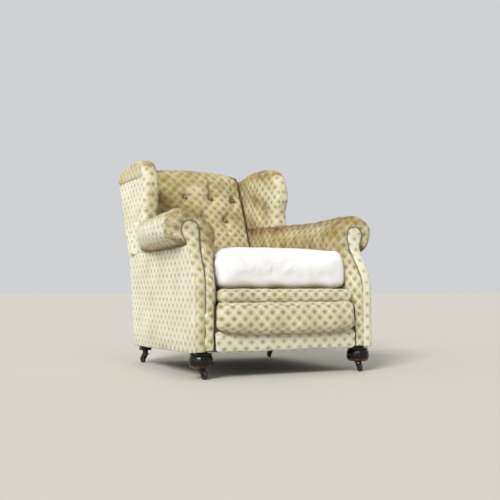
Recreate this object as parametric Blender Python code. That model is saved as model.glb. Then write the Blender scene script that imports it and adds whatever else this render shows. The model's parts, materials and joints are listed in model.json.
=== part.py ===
"""A worn upholstered wing armchair on four castors, as an assembly of its real pieces.

A beech frame carries webbing, coil springs and a padded deck. The arms have rolled tops
and receding scroll fronts edged with piping, the back is buttoned, and a loose cushion
lies on the seat. Metres, Z up, front towards -Y. Left and right are the viewer's.
The origin is on the floor, below the middle of the chair's box.
"""
import math

import bpy
import bmesh
from mathutils import Vector

# Clearance that separate pieces keep where they touch.
GAP = 0.0003
SOFT_GAP = 0.0009           # clearance of padding in front of the leaning posts

# Side view. All Y values are measured from the centre of the front feet.
ORIGIN_Y = 0.45745          # where the middle of the chair's depth lies
FRONT_Y = -0.041            # front edge of the arms, below the sweep
SWEEP = 0.089               # how far the arm fronts recede
SWEEP_LOW_Z = 0.330
SWEEP_HIGH_Z = 0.520
SWEEP_STEPS = 4             # straight runs that make up the sweep
BACK_FOOT_Y = 0.705         # where the rear line would meet the floor
LOW_RAKE = 0.25             # lean of the rear below the knee, per metre of height
HIGH_RAKE = 0.45
KNEE_Z = 0.4725
BASE_FRONT_Z = 0.093        # lower edge of the covers at the front
SEAT_FALL = 0.0246          # fall of base and seat towards the back, per metre

# Plan view.
SIDE_FRONT_X = 0.371        # half width over the outside covers at the front
SIDE_TAPER = 0.0303
PANEL = 0.012               # thickness of the padded outside covers
TIMBER = 0.032              # thickness of the side timbers
BACK_COVER = 0.008
BACK_COVER_DROP = 0.026      # its upper edge lies this far below the crest
POST_DEPTH = 0.028          # back posts and back rails, front to back

# Timber frame.
RAIL_HEIGHT = 0.160
RAIL_LIFT = 0.0045          # undersides of the rails above the covers' edge
RAIL_THICK = 0.028
BACK_POST_INNER_X = 0.262
ARM_RAIL_HEIGHT = 0.032
ARM_POST_DEPTH = 0.038
CREST_RAIL_HEIGHT = 0.060

# Arms.
ROLL_CENTRE_OUT = 0.001     # centre of the roll, outwards of the outside cover
ROLL_CENTRE_Z = 0.548
ROLL_RADIUS = 0.077
SCROLL_Z = 0.535
SCROLL_RADIUS = 0.0315
ROLL_UNDERSIDE_Z = 0.468
ROLL_POINTS = 8
NOSE_DEPTH = 0.055          # length over which the arm swells up behind its facing
ROLL_FADE_START_Y = 0.29    # where the roll begins to run out into the outside of the wing
ROLL_FADE_END_Y = 0.735
ROLL_FADE_POWER = 1.5       # the roll runs out slowly at first
ARM_INNER_X = 0.281         # face of the arm beside the cushion
ARM_SHOULDER_X = 0.257
ARM_FACE_SHARES = (0.0, 0.12, 0.58, 0.92, 1.0)     # from the shoulder down to the cushion
SHOULDER_X = 0.268          # where the inside turns over into the roll
SHOULDER_Z = 0.559
WING_SHOULDER_Z = 0.608     # the same, under the wing
FLAT_ROUND = 0.012          # rounding of the arm where the roll has run out
PIPING_RADIUS = 0.003
FACING_DEPTH = 0.0105
FACING_CROWN = 0.006
FACING_LOW_WIDTH = 0.036
FACING_TAPER = 0.011        # the inner edge leans out by this much up to the head
FLARE_Z = 0.486             # neck, where the outer edge turns out into the head
HEAD_ANGLES = (25, 48, 66, 80)

# Wings.
WING_OUTER_X = 0.3455
WING_FRONT_Y = 0.574
WING_RADIUS = 0.0405
WING_CENTRE_X = 0.293
WING_NOTCH = 0.042          # the outside cover starts this far behind the end of the roll

# Back.
BACK_PAD_X = 0.2525
BACK_TOP_Z = 0.878
WING_TOP_Z = BACK_TOP_Z + 0.013
CREST_PADDING = 0.043       # padding above the crest rail
BACK_POST_TOP_Z = BACK_TOP_Z - CREST_PADDING
CREST_ROUND = 0.030         # how the top of the pad rolls over
BACK_SIDE_DROP = 0.021      # the top edge is this much lower beside the wings
BACK_EDGE = 0.024           # thickness of the pad where it meets the wings
BACK_CROWN_LOW = 0.040
BACK_CROWN_HIGH = 0.070
BUTTON_PITCH = 0.129
BUTTON_ROWS = ((BACK_TOP_Z - 0.128, 4), (BACK_TOP_Z - 0.233, 3))
BUTTON_RADIUS = 0.0105
TUFT_DEPTH = 0.022
TUFT_RADIUS = 0.030

# Seat.
LIP_LOW_Z = BASE_FRONT_Z + RAIL_LIFT + RAIL_HEIGHT + 0.009
LIP_HEIGHT = 0.046
DECK_TOP_Z = LIP_LOW_Z + LIP_HEIGHT
DECK_THICK = 0.042
DECK_X = 0.2795
DECK_CORNER = 0.012
BAND_X = 0.296
BAND_Y = -0.047
BAND_LOW_Z = 0.0975
PANEL_X = 0.2935
PANEL_Y = -0.079
PANEL_LOW_Z = 0.163
BAND_TOP_Z = PANEL_LOW_Z - GAP
BACKING_X = 0.2845           # half width of both behind the arms' front edges
PANEL_CORNER = 0.016
LIP_X = 0.2802
LIP_Y = -0.060
LIP_BACK_Y = 0.030
CUSHION_X = 0.2755
CUSHION_FRONT_Y = -0.020
CUSHION_BACK_Y = 0.672
CUSHION_HEIGHT = 0.161
CUSHION_EDGE_HEIGHT = 0.136
CUSHION_CORNER = 0.022

# Springing.
STRAP_WIDTH = 0.050
STRAP_THICK = 0.002
STRAPS_ACROSS = 4
STRAPS_ALONG = 4
SPRING_ROWS = 3
SPRING_COLUMNS = 3
SPRING_PITCH_X = 0.150
SPRING_PITCH_Y = 0.190
SPRING_FIRST_Y = 0.150
SPRING_END_RADIUS = 0.044
SPRING_WAIST_RADIUS = 0.030
SPRING_WIRE = 0.002
SPRING_TURNS = 4
CLOTH_THICK = 0.0012
CLOTH_INSET = 0.030

# Feet and castors.
FOOT_X = 0.332
BUN_RADIUS = 0.0440
BUN_LOW_Z = 0.040
BUN_TOP_Z = 0.0902
BUN_PLATE_THICK = 0.005
BUN_SQUARENESS = 0.22       # lower values give a flatter, squarer bun
BUN_SPIGOT_RADIUS = 0.025
REAR_FOOT_X = 0.307
REAR_FOOT_Y = 0.690
REAR_FOOT_SIDE = 0.046
REAR_FOOT_LOW_Z = 0.056
REAR_NECK_RADIUS = 0.012
WHEEL_RADIUS = 0.0155
WHEEL_WIDTH = 0.013
AXLE_RADIUS = 0.0025
AXLE_BOSS_RADIUS = AXLE_RADIUS + 0.003
AXLE_END = 0.0012            # length of axle outside each cheek
AXLE_SIDES = 8
CHEEK_TOP_FRONT = 0.009      # the cheek's reach along the plate, ahead of the swivel
CHEEK_TOP_BACK = 0.012
AXLE_CLEARANCE = 0.0001
CASTOR_TRAIL = 0.021
CASTOR_PLATE_RADIUS = 0.0165
CASTOR_PLATE_THICK = 0.0025
CHEEK_THICK = 0.0025
CHEEK_CLEARANCE = 0.0008

# Facets round each turned piece.
FOOT_SIDES = 22
WHEEL_SIDES = 20

SIDES = (("left", -1), ("right", 1))


# Colours, roughness and metallic value of each material.
FINISHES = {
    "patterned_cover": ((0.80, 0.74, 0.55), 0.90, 0.0),
    "side_cover": ((0.88, 0.85, 0.71), 0.90, 0.0),
    "piping": ((0.23, 0.21, 0.12), 0.85, 0.0),
    "calico": ((0.92, 0.90, 0.85), 0.85, 0.0),
    "beech": ((0.62, 0.46, 0.29), 0.60, 0.0),
    "webbing": ((0.47, 0.38, 0.25), 0.95, 0.0),
    "black_cloth": ((0.05, 0.05, 0.05), 0.95, 0.0),
    "spring_steel": ((0.32, 0.30, 0.28), 0.45, 0.9),
    "ebonised_wood": ((0.03, 0.022, 0.02), 0.22, 0.0),
    "iron": ((0.06, 0.06, 0.065), 0.45, 0.8),
    "wheel": ((0.05, 0.05, 0.055), 0.40, 0.3),
}


def smooth(t):
    t = min(max(t, 0.0), 1.0)
    return t * t * (3.0 - 2.0 * t)


def mix(a, b, t):
    return a + (b - a) * t


def front_y(z):
    """The front edge of the arms in side view, upright below and swept back above."""
    along = min(max((z - SWEEP_LOW_Z) / (SWEEP_HIGH_Z - SWEEP_LOW_Z), 0.0), 1.0) * SWEEP_STEPS
    step = min(int(along), SWEEP_STEPS - 1)
    start, end = smooth(step / SWEEP_STEPS), smooth((step + 1) / SWEEP_STEPS)
    return FRONT_Y + SWEEP * mix(start, end, along - step)


def sweep_heights(low, high):
    """Heights from low to high at which a piece on the arm front needs points."""
    pitch = (SWEEP_HIGH_Z - SWEEP_LOW_Z) / SWEEP_STEPS
    stations = [SWEEP_LOW_Z + i * pitch for i in range(SWEEP_STEPS + 1)]
    return [low] + [z for z in stations if low + 1e-6 < z < high - 1e-6] + [high]


def rear_y(z):
    """The raked rear line of the chair, with its knee above the seat."""
    return BACK_FOOT_Y + LOW_RAKE * min(z, KNEE_Z) + HIGH_RAKE * max(z - KNEE_Z, 0.0)


def outer_x(y):
    """Half width over the outside covers, tapering to the back."""
    return SIDE_FRONT_X - SIDE_TAPER * (y - FRONT_Y)


def fall(y):
    return SEAT_FALL * (y - FRONT_Y)


def base_z(y):
    return BASE_FRONT_Z - fall(y)


def rail_low_z(y):
    return base_z(y) + RAIL_LIFT


def rail_top_z(y):
    return rail_low_z(y) + RAIL_HEIGHT


def deck_top_z(y):
    return DECK_TOP_Z - fall(y)


def clear_scene():
    for item in list(bpy.data.objects):
        bpy.data.objects.remove(item, do_unlink=True)


def make_materials():
    made = {}
    for name, (colour, roughness, metallic) in FINISHES.items():
        material = bpy.data.materials.new(name)
        material.use_nodes = True
        shader = material.node_tree.nodes["Principled BSDF"]
        shader.inputs["Base Color"].default_value = (*colour, 1.0)
        shader.inputs["Roughness"].default_value = roughness
        shader.inputs["Metallic"].default_value = metallic
        material.diffuse_color = (*colour, 1.0)
        made[name] = material
    return made


def empty(name, parent=None, place=(0.0, 0.0, 0.0)):
    item = bpy.data.objects.new(name, None)
    item.empty_display_size = 0.03
    item.location = place
    item.parent = parent
    bpy.context.scene.collection.objects.link(item)
    return item


def finish(name, mesh, parent, material):
    """Link a mesh as a named piece, with its faces turned outwards and shaded smooth."""
    bm = bmesh.new()
    bm.from_mesh(mesh)
    bmesh.ops.recalc_face_normals(bm, faces=bm.faces)
    bm.to_mesh(mesh)
    bm.free()
    mesh.materials.append(MATERIALS[material])
    mesh.shade_smooth()
    mesh.set_sharp_from_angle(angle=math.radians(40))
    item = bpy.data.objects.new(name, mesh)
    item.parent = parent
    bpy.context.scene.collection.objects.link(item)
    return item


def loft(name, rings, parent, material, caps=None, looped=False):
    """Skin rings of equal point counts, and close the ends or, if looped, join them.

    caps lists the faces of an end by their point numbers, where one face wouldn't be flat.
    """
    count = len(rings[0])
    points = [tuple(point) for ring in rings for point in ring]
    faces = []
    for i in range(len(rings) if looped else len(rings) - 1):
        low = i * count
        high = ((i + 1) % len(rings)) * count
        for j in range(count):
            k = (j + 1) % count
            faces.append((low + j, low + k, high + k, high + j))
    for start in () if looped else (0, (len(rings) - 1) * count):
        for cap in caps or (range(count),):
            faces.append(tuple(start + j for j in cap))
    mesh = bpy.data.meshes.new(name)
    mesh.from_pydata(points, [], faces)
    return finish(name, mesh, parent, material)


def inset(outline, distance, weight=None):
    """An anticlockwise outline moved inwards, each point by its own share of distance."""
    moved = []
    for i, (x, y) in enumerate(outline):
        before = Vector((x, y)) - Vector(outline[i - 1])
        after = Vector(outline[(i + 1) % len(outline)]) - Vector((x, y))
        normal = Vector((-before.y, before.x)).normalized()
        normal += Vector((-after.y, after.x)).normalized()
        share = weight(x, y) if weight else 1.0
        step = normal.normalized() * distance * share
        moved.append((x + step.x, y + step.y))
    return moved


def slab(name, outline, levels, place, parent, material, weight=None):
    """A padded board: one outline stacked at levels of (depth, inset)."""
    rings = []
    for depth, shrink in levels:
        rings.append([place(a, b, depth) for a, b in inset(outline, shrink, weight)])
    return loft(name, rings, parent, material)


def rounded_box(x0, x1, y0, y1, radius, steps=3):
    """An anticlockwise rectangle with round corners."""
    corners = ((x1, y0, -90), (x1, y1, 0), (x0, y1, 90), (x0, y0, 180))
    outline = []
    for x, y, start in corners:
        cx = x - radius if x == x1 else x + radius
        cy = y - radius if y == y1 else y + radius
        for i in range(steps + 1):
            angle = math.radians(start + 90 * i / steps)
            outline.append((cx + radius * math.cos(angle), cy + radius * math.sin(angle)))
    return outline


def pillow(name, box, radius, levels, place, parent, material):
    """A padded box: at every level of (depth, inset) a smaller outline with rounder corners."""
    x0, x1, y0, y1 = box
    rings = []
    for depth, cut in levels:
        rounding = min(radius + cut * 0.3, (y1 - y0 - 2 * cut) * 0.4)
        outline = rounded_box(x0 + cut, x1 - cut, y0 + cut, y1 - cut, rounding, 4)
        rings.append([place(a, b, depth) for a, b in outline])
    return loft(name, rings, parent, material)


def curve_through(points, steps):
    """A smooth run of points through the given ones."""
    run = []
    last = len(points) - 1
    for i in range(last):
        p0 = Vector(points[max(i - 1, 0)])
        p1 = Vector(points[i])
        p2 = Vector(points[i + 1])
        p3 = Vector(points[min(i + 2, last)])
        for k in range(steps):
            t = k / steps
            blend = 2 * p1 + (p2 - p0) * t + (2 * p0 - 5 * p1 + 4 * p2 - p3) * t ** 2
            run.append((blend + (3 * p1 - p0 - 3 * p2 + p3) * t ** 3) / 2)
    run.append(Vector(points[-1]))
    return run


def box_between(name, corners, parent, material):
    """An eight-cornered timber: four corners of one end, then the same four of the other."""
    return loft(name, (corners[:4], corners[4:]), parent, material)


def front_rail(half_x, front, parent):
    """The seat rail across the front, its edges following the fall of the base."""
    back = front + RAIL_THICK
    ends = []
    for x in (-half_x, half_x):
        ends += [(x, front, rail_low_z(front)), (x, back, rail_low_z(back))]
        ends += [(x, back, rail_top_z(back)), (x, front, rail_top_z(front))]
    return box_between("front_seat_rail", ends, parent, "beech")


def back_timber(name, half_x, low, top, parent):
    """A rail between the back posts, which leans with them."""
    ends = []
    for x in (-half_x, half_x):
        for z, depth in ((low, 0), (low, 1), (top, 1), (top, 0)):
            y = rear_y(z) - BACK_COVER - GAP - depth * POST_DEPTH
            ends.append((x, y, rail_low_z(y) if z == low and low < SWEEP_LOW_Z else z))
    return box_between(name, ends, parent, "beech")


def front_post_y(z):
    return front_y(z) + FACING_DEPTH + GAP


def back_post_front_y(z):
    return rear_y(z) - BACK_COVER - GAP - POST_DEPTH


def timber_frame(parent):
    """Rails and posts, which carry everything else."""
    front = front_post_y(BAND_LOW_Z)
    post_back = front + ARM_POST_DEPTH
    foot_z = base_z(rear_y(BASE_FRONT_Z))
    for label, side in SIDES:
        rings = []
        top = ROLL_UNDERSIDE_Z - ARM_RAIL_HEIGHT - 2 * GAP
        for z in sweep_heights(BAND_LOW_Z, top):
            y0 = front_post_y(z)
            y1 = y0 + ARM_POST_DEPTH
            ring = []
            for y, depth in ((y0, PANEL + GAP), (y1, PANEL + GAP), (y1, PANEL + TIMBER),
                             (y0, PANEL + TIMBER)):
                height = rail_low_z(y) if z == BAND_LOW_Z else z
                ring.append((side * (outer_x(y) - depth), y, height))
            rings.append(ring)
        loft(f"{label}_arm_post", rings, parent, "beech")

        rings = []
        for z in (foot_z, KNEE_Z, BACK_POST_TOP_Z):
            y0 = back_post_front_y(z)
            y1 = y0 + POST_DEPTH
            x1 = min(outer_x(rear_y(z)), WING_OUTER_X) - PANEL - GAP
            ring = []
            for x, y in ((BACK_POST_INNER_X, y0), (x1, y0), (x1, y1), (BACK_POST_INNER_X, y1)):
                ring.append((side * x, y, rail_low_z(y) if z == foot_z else z))
            rings.append(ring)
        loft(f"{label}_back_post", rings, parent, "beech")

        rings = []
        for y in (post_back + GAP, back_post_front_y(foot_z) - GAP):
            x1 = outer_x(y) - PANEL - GAP
            x0 = outer_x(y) - PANEL - TIMBER
            ring = [(x0, rail_low_z(y)), (x1, rail_low_z(y)), (x1, rail_top_z(y)),
                    (x0, rail_top_z(y))]
            rings.append([(side * x, y, z) for x, z in ring])
        loft(f"{label}_side_rail", rings, parent, "beech")

        rings = []
        z0 = ROLL_UNDERSIDE_Z - ARM_RAIL_HEIGHT - GAP
        z1 = ROLL_UNDERSIDE_Z - GAP
        for y in (front_post_y(z1), back_post_front_y(z0) - GAP):
            x1 = min(outer_x(y), WING_OUTER_X) - PANEL - GAP
            x0 = outer_x(y) - PANEL - TIMBER
            rings.append([(side * x, y, z) for x, z in ((x0, z0), (x1, z0), (x1, z1), (x0, z1))])
        loft(f"{label}_arm_rail", rings, parent, "beech")

    front_rail(outer_x(post_back) - PANEL - TIMBER - GAP, front, parent)
    inner = BACK_POST_INNER_X - GAP
    back_timber("back_seat_rail", inner, foot_z, foot_z + RAIL_HEIGHT, parent)
    back_timber("crest_rail", inner, BACK_POST_TOP_Z - CREST_RAIL_HEIGHT, BACK_POST_TOP_Z, parent)


def seat_webbing(parent):
    """Interlaced straps under the rails, as one lattice with its square gaps open."""
    y0 = front_post_y(BAND_LOW_Z) + RAIL_THICK / 2
    y1 = back_post_front_y(BASE_FRONT_Z) + POST_DEPTH / 2
    half = outer_x(y1) - PANEL - TIMBER

    def stops(low, high, count):
        """Edges of equal straps, the outer two flush with the ends."""
        pitch = (high - low - STRAP_WIDTH) / (count - 1)
        edges = []
        for i in range(count):
            edges += [low + i * pitch, low + i * pitch + STRAP_WIDTH]
        return edges

    across = stops(-half, half, STRAPS_ALONG)
    along = stops(y0, y1, STRAPS_ACROSS)
    bm = bmesh.new()
    grid = {}
    for i, x in enumerate(across):
        for j, y in enumerate(along):
            z = rail_low_z(y) - GAP - STRAP_THICK
            grid[i, j] = bm.verts.new((x, y, z))
    for i in range(len(across) - 1):
        for j in range(len(along) - 1):
            if i % 2 == 0 or j % 2 == 0:
                corners = (grid[i, j], grid[i + 1, j], grid[i + 1, j + 1], grid[i, j + 1])
                bm.faces.new(corners)
    raised = bmesh.ops.extrude_face_region(bm, geom=bm.faces[:])
    lifted = [item for item in raised["geom"] if isinstance(item, bmesh.types.BMVert)]
    bmesh.ops.translate(bm, verts=lifted, vec=(0, 0, STRAP_THICK))
    mesh = bpy.data.meshes.new("seat_webbing")
    bm.to_mesh(mesh)
    bm.free()
    finish("seat_webbing", mesh, parent, "webbing")


def bottom_cloth(parent):
    """The black dust cloth under the base, flat and level with the covers' fall."""
    front = front_post_y(BAND_LOW_Z) + CLOTH_INSET
    back = rear_y(BASE_FRONT_Z) - CLOTH_INSET - POST_DEPTH
    half = outer_x(back) - PANEL - TIMBER - CLOTH_INSET
    rings = []
    top_drop = GAP + STRAP_THICK + GAP
    for drop in (top_drop + CLOTH_THICK, top_drop):
        corners = ((-half, front), (half, front), (half, back), (-half, back))
        rings.append([(x, y, rail_low_z(y) - drop) for x, y in corners])
    loft("bottom_cloth", rings, parent, "black_cloth")


def spring_points(x, y):
    """The helix of an hourglass coil spring that stands on the webbing and carries the deck."""
    per_turn = 8
    count = SPRING_TURNS * per_turn
    points = []
    for i in range(count + 1):
        t = i / count
        angle = 2 * math.pi * SPRING_TURNS * t
        waist = 1.0 - abs(2.0 * t - 1.0)
        radius = mix(SPRING_END_RADIUS, SPRING_WAIST_RADIUS, smooth(waist))
        y_here = y + radius * math.sin(angle)
        low = rail_low_z(y_here) + SPRING_WIRE
        high = deck_top_z(y_here) - DECK_THICK - GAP - SPRING_WIRE
        flat = min(max((t - 0.5 / SPRING_TURNS) / (1.0 - 1.0 / SPRING_TURNS), 0.0), 1.0)
        points.append((x + radius * math.cos(angle), y_here, mix(low, high, flat)))
    return points


def rod(name, points, radius, parent, material, resolution=0):
    """A round wire, cord or welt along the points, with closed ends."""
    curve = bpy.data.curves.new(name, "CURVE")
    curve.dimensions = "3D"
    spline = curve.splines.new("POLY")
    spline.points.add(len(points) - 1)
    for target, point in zip(spline.points, points):
        target.co = (*point, 1.0)
    curve.bevel_depth = radius
    curve.bevel_resolution = resolution
    curve.use_fill_caps = True
    curve.materials.append(MATERIALS[material])
    item = bpy.data.objects.new(name, curve)
    item.parent = parent
    bpy.context.scene.collection.objects.link(item)
    return item


def seat_springs(parent):
    number = 0
    for row in range(SPRING_ROWS):
        for column in range(SPRING_COLUMNS):
            number += 1
            x = (column - (SPRING_COLUMNS - 1) / 2) * SPRING_PITCH_X
            y = SPRING_FIRST_Y + row * SPRING_PITCH_Y
            rod(f"seat_spring_{number}", spring_points(x, y), SPRING_WIRE, parent, "spring_steel")


def deck_back_y():
    return back_post_front_y(DECK_TOP_Z - DECK_THICK - fall(BACK_FOOT_Y)) - GAP


def seat_deck(parent):
    """The padded platform over the springs."""
    box = (-DECK_X, DECK_X, LIP_BACK_Y + GAP, deck_back_y())
    levels = ((-DECK_THICK, 0.006), (-DECK_THICK + 0.008, 0), (-0.012, 0), (0, 0.012))
    place = lambda x, y, depth: (x, y, deck_top_z(y) + depth)
    pillow("seat_platform", box, DECK_CORNER, levels, place, parent, "patterned_cover")


def seat_front(parent):
    """The covered rail, the swelling front panel above it and the rolled lip of the deck."""
    back = front_post_y(BAND_LOW_Z) - GAP

    def board(name, half, low, top, front, corner, levels):
        """A padded board on the front rail, narrower where it passes behind the arms."""
        thick = back - front

        def place(x, z, share):
            squeeze = BACKING_X / half if share < 0.63 else 1.0
            return x * squeeze, back - thick * share, z

        pillow(name, (-half, half, low, top), corner, levels, place, parent, "patterned_cover")

    board("front_rail_band", BAND_X, BAND_LOW_Z, BAND_TOP_Z, BAND_Y, DECK_CORNER,
          ((0, 0), (0.6, 0), (0.66, 0), (0.85, 0.003), (1, 0.010)))
    board("front_panel", PANEL_X, PANEL_LOW_Z, LIP_LOW_Z - GAP, PANEL_Y, PANEL_CORNER,
          ((0, 0), (0.6, 0), (0.66, 0), (0.80, 0.006), (0.93, 0.016), (1, 0.028)))

    radius = (DECK_TOP_Z - LIP_LOW_Z) / 2
    centre_z = LIP_LOW_Z + radius
    front = [(LIP_Y + radius - radius * math.cos(a), centre_z - radius * math.sin(a))
             for a in (math.radians(d) for d in range(-80, 81, 20))]
    outline = [(LIP_BACK_Y, LIP_LOW_Z), (LIP_BACK_Y, DECK_TOP_Z)] + front
    levels = []
    for degrees in (-80, -50, -20, 20, 50, 80):
        angle = math.radians(degrees)
        end = math.copysign(LIP_X - radius * (1 - abs(math.sin(angle))), angle)
        levels.append((end, radius * (1 - math.cos(angle)) * 0.8))
    rolled = lambda y, z: smooth((LIP_BACK_Y - y) / (LIP_BACK_Y - LIP_Y) * 2)
    place = lambda y, z, x: (x, y, z - fall(y))
    slab("front_lip_roll", outline, levels, place, parent, "patterned_cover", rolled)


def arm_ring(side, y_at, swell, strip, fade, cling):
    """One ring round an arm, with the hollow for the timbers left open.

    y_at gives the depth of a point from its height and whether it is on the roll. swell
    shrinks the padding towards its core, strip takes the inner border down to the base edge,
    fade turns the roll into a flat outside, and cling straightens the shoulder under the wing.
    """
    ring = []

    def add(x, z, on_roll, inwards=None):
        """A point at x or, if inwards is given, that far in from the outside cover."""
        y = y_at(z, on_roll)
        if inwards is not None:
            x = outer_x(y) - inwards
        ring.append((side * x, y, z))

    core = PANEL + TIMBER + GAP
    low_y = y_at(BAND_LOW_Z, False)
    low = BAND_LOW_Z if strip else rail_top_z(low_y) + GAP
    roll_y = y_at(ROLL_CENTRE_Z, True)
    face_x = outer_x(roll_y)
    wall_x = min(face_x, WING_OUTER_X) - PANEL - GAP
    top_z = ROLL_CENTRE_Z + ROLL_RADIUS
    leaf = sweep_heights(SWEEP_LOW_Z, ROLL_UNDERSIDE_Z)
    for z in [low] + leaf:
        add(0, z, z == ROLL_UNDERSIDE_Z, core)
    add(mix(face_x, wall_x, fade), ROLL_UNDERSIDE_Z, True)

    scroll_x = face_x - PANEL - TIMBER / 8
    for i in range(ROLL_POINTS):
        share = i / (ROLL_POINTS - 1)
        angle = math.radians(mix(-75, 140, share))
        x = face_x + ROLL_CENTRE_OUT + ROLL_RADIUS * math.cos(angle)
        z = ROLL_CENTRE_Z + ROLL_RADIUS * math.sin(angle)
        if share < 0.6:
            low_z, high_z = ROLL_UNDERSIDE_Z + FLAT_ROUND, top_z - FLAT_ROUND
            flat = (wall_x, mix(low_z, high_z, share / 0.6))
        else:
            inner_end = ARM_SHOULDER_X + 2 * FLAT_ROUND
            flat = (mix(wall_x - FLAT_ROUND, inner_end, (share - 0.6) / 0.4), top_z)
        x = mix(scroll_x, mix(x, flat[0], fade), swell)
        z = mix(SCROLL_Z, mix(z, flat[1], fade), swell)
        add(x, z, True)

    inner_x = outer_x(y_at(ROLL_UNDERSIDE_Z, False)) - core
    shoulder_z = mix(mix(SHOULDER_Z, WING_SHOULDER_Z, cling), SCROLL_Z, 1 - swell)
    add(mix(inner_x, mix(SHOULDER_X, ARM_SHOULDER_X, cling), swell), shoulder_z, True)
    heights = sweep_heights(SWEEP_LOW_Z, SWEEP_HIGH_Z)
    for share, z in zip(ARM_FACE_SHARES, reversed(heights)):
        x = mix(ARM_SHOULDER_X, ARM_INNER_X, share)
        add(mix(outer_x(y_at(z, False)) - core, x, swell), z, False)
    inner = mix(outer_x(low_y) - core, ARM_INNER_X, swell)
    add(inner, max(low, rail_top_z(low_y) + 2 * GAP), False)
    add(inner, low, False)
    return ring


def arm_end_faces():
    """How the ends of an arm are filled: the roll's round end, then a strip down the leaf."""
    leaf = len(sweep_heights(SWEEP_LOW_Z, ROLL_UNDERSIDE_Z))
    corner = leaf
    neck = corner + 1
    last_roll = neck + ROLL_POINTS
    shoulder = last_roll + 1
    top_skin = shoulder + 1
    faces = [tuple(range(corner, top_skin + 1)), (corner, top_skin, top_skin + 1)]
    for i in range(leaf - 1):
        faces.append((corner - i, top_skin + 1 + i, top_skin + 2 + i, corner - i - 1))
    last = top_skin + 1 + leaf - 1
    faces.append((corner - leaf + 1, last, last + 1, last + 2, 0))
    return faces


def arm_pads(parent):
    """Inside arm and roll in one: a leaf beside the seat that turns over into the roll."""
    noses = ((0.0, 0.55, True), (0.003, 0.76, True), (FACING_DEPTH - GAP, 0.88, True),
             (FACING_DEPTH, 0.885, False), (0.024, 0.96, False), (NOSE_DEPTH, 1.0, False))
    head_y = FRONT_Y + SWEEP

    def nose_y(z, on_roll, offset):
        """Depth of the arm's nose, which lies behind the facing wherever that is wide."""
        behind = (FACING_DEPTH + GAP) * (1 - offset / NOSE_DEPTH)
        if on_roll:
            return head_y + offset + behind
        return front_y(z) + offset + behind * smooth((z - SWEEP_LOW_Z) / 0.04)

    for label, side in SIDES:
        rings = []
        for offset, swell, strip in noses:
            y_at = lambda z, on_roll, offset=offset: nose_y(z, on_roll, offset)
            rings.append(arm_ring(side, y_at, swell, strip, 0.0, 0.0))
        for share in (0.12, 0.30, 0.44, 0.55, 0.64, 0.73, 0.82, 0.90, 1.0):
            def y_at(z, on_roll, share=share):
                end = back_post_front_y(z) - SOFT_GAP
                return mix(nose_y(z, on_roll, NOSE_DEPTH), end, share)
            middle = y_at(SCROLL_Z, True)
            run = (middle - ROLL_FADE_START_Y) / (ROLL_FADE_END_Y - ROLL_FADE_START_Y)
            fade = min(max(run, 0.0), 1.0) ** ROLL_FADE_POWER
            cling = smooth((middle - WING_FRONT_Y + 0.07) / 0.10)
            rings.append(arm_ring(side, y_at, 1.0, False, fade, cling))
        loft(f"{label}_arm_pad", rings, parent, "patterned_cover", arm_end_faces())


def facing_heights():
    """Heights at which the facing and its piping have points, below the round head."""
    return sorted(sweep_heights(BAND_LOW_Z, SCROLL_Z) + [FLARE_Z, (FLARE_Z + SCROLL_Z) / 2])


def facing_edges(z):
    """Inner and outer edge of the scroll-headed facing at a height."""
    head = smooth((z - SWEEP_LOW_Z) / (SCROLL_Z - SWEEP_LOW_Z))
    face_x = outer_x(FRONT_Y) - GAP
    inner = mix(face_x - FACING_LOW_WIDTH, face_x - FACING_LOW_WIDTH - FACING_TAPER, head)
    flare = smooth((z - FLARE_Z) / (SCROLL_Z - FLARE_Z))
    outer = mix(face_x, inner + 2 * SCROLL_RADIUS, flare)
    if z > SCROLL_Z:
        reach = math.sqrt(max(SCROLL_RADIUS ** 2 - (z - SCROLL_Z) ** 2, 0.0))
        centre = (inner + outer) / 2
        return centre - reach, centre + reach
    return inner, outer


def arm_facings(parent):
    """The padded strips up the arm fronts, swept back and ending in round scroll heads."""
    heights = facing_heights()
    heights += [SCROLL_Z + SCROLL_RADIUS * math.sin(math.radians(d)) for d in HEAD_ANGLES]
    for label, side in SIDES:
        rings = []
        for z in heights:
            inner, outer = facing_edges(z)
            y = front_y(z)
            crown = FACING_CROWN * min((outer - inner) / FACING_LOW_WIDTH, 1.0)
            ring = [(inner, FACING_DEPTH), (inner, 0.002)]
            ring += [(mix(inner, outer, 0.2), 0.002 - crown * 0.8)]
            ring += [(mix(inner, outer, 0.5), 0.002 - crown)]
            ring += [(mix(inner, outer, 0.8), 0.002 - crown * 0.8)]
            ring += [(outer, 0.002), (outer, FACING_DEPTH)]
            rings.append([(side * x, y + depth, z) for x, depth in ring])
        loft(f"{label}_arm_facing", rings, parent, "patterned_cover")


def arm_piping(parent):
    """The welt round each facing, up the inner edge, over the head and down to the neck."""
    out = PIPING_RADIUS + 2 * GAP
    heights = facing_heights()
    reach = SCROLL_RADIUS + out
    for label, side in SIDES:
        path = [(facing_edges(z)[0] - out, z) for z in heights]
        centre = sum(facing_edges(SCROLL_Z)) / 2
        for degrees in [180 - d for d in HEAD_ANGLES] + list(reversed(HEAD_ANGLES)):
            angle = math.radians(degrees)
            path.append((centre + reach * math.cos(angle), SCROLL_Z + reach * math.sin(angle)))
        for z in reversed([z for z in heights if z >= FLARE_Z]):
            path.append((facing_edges(z)[1] + out + GAP, z))
        points = [(side * x, front_y(z) + FACING_DEPTH - out - 0.004, z) for x, z in path]
        rod(f"{label}_arm_piping", points, PIPING_RADIUS, parent, "piping", 1)


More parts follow.
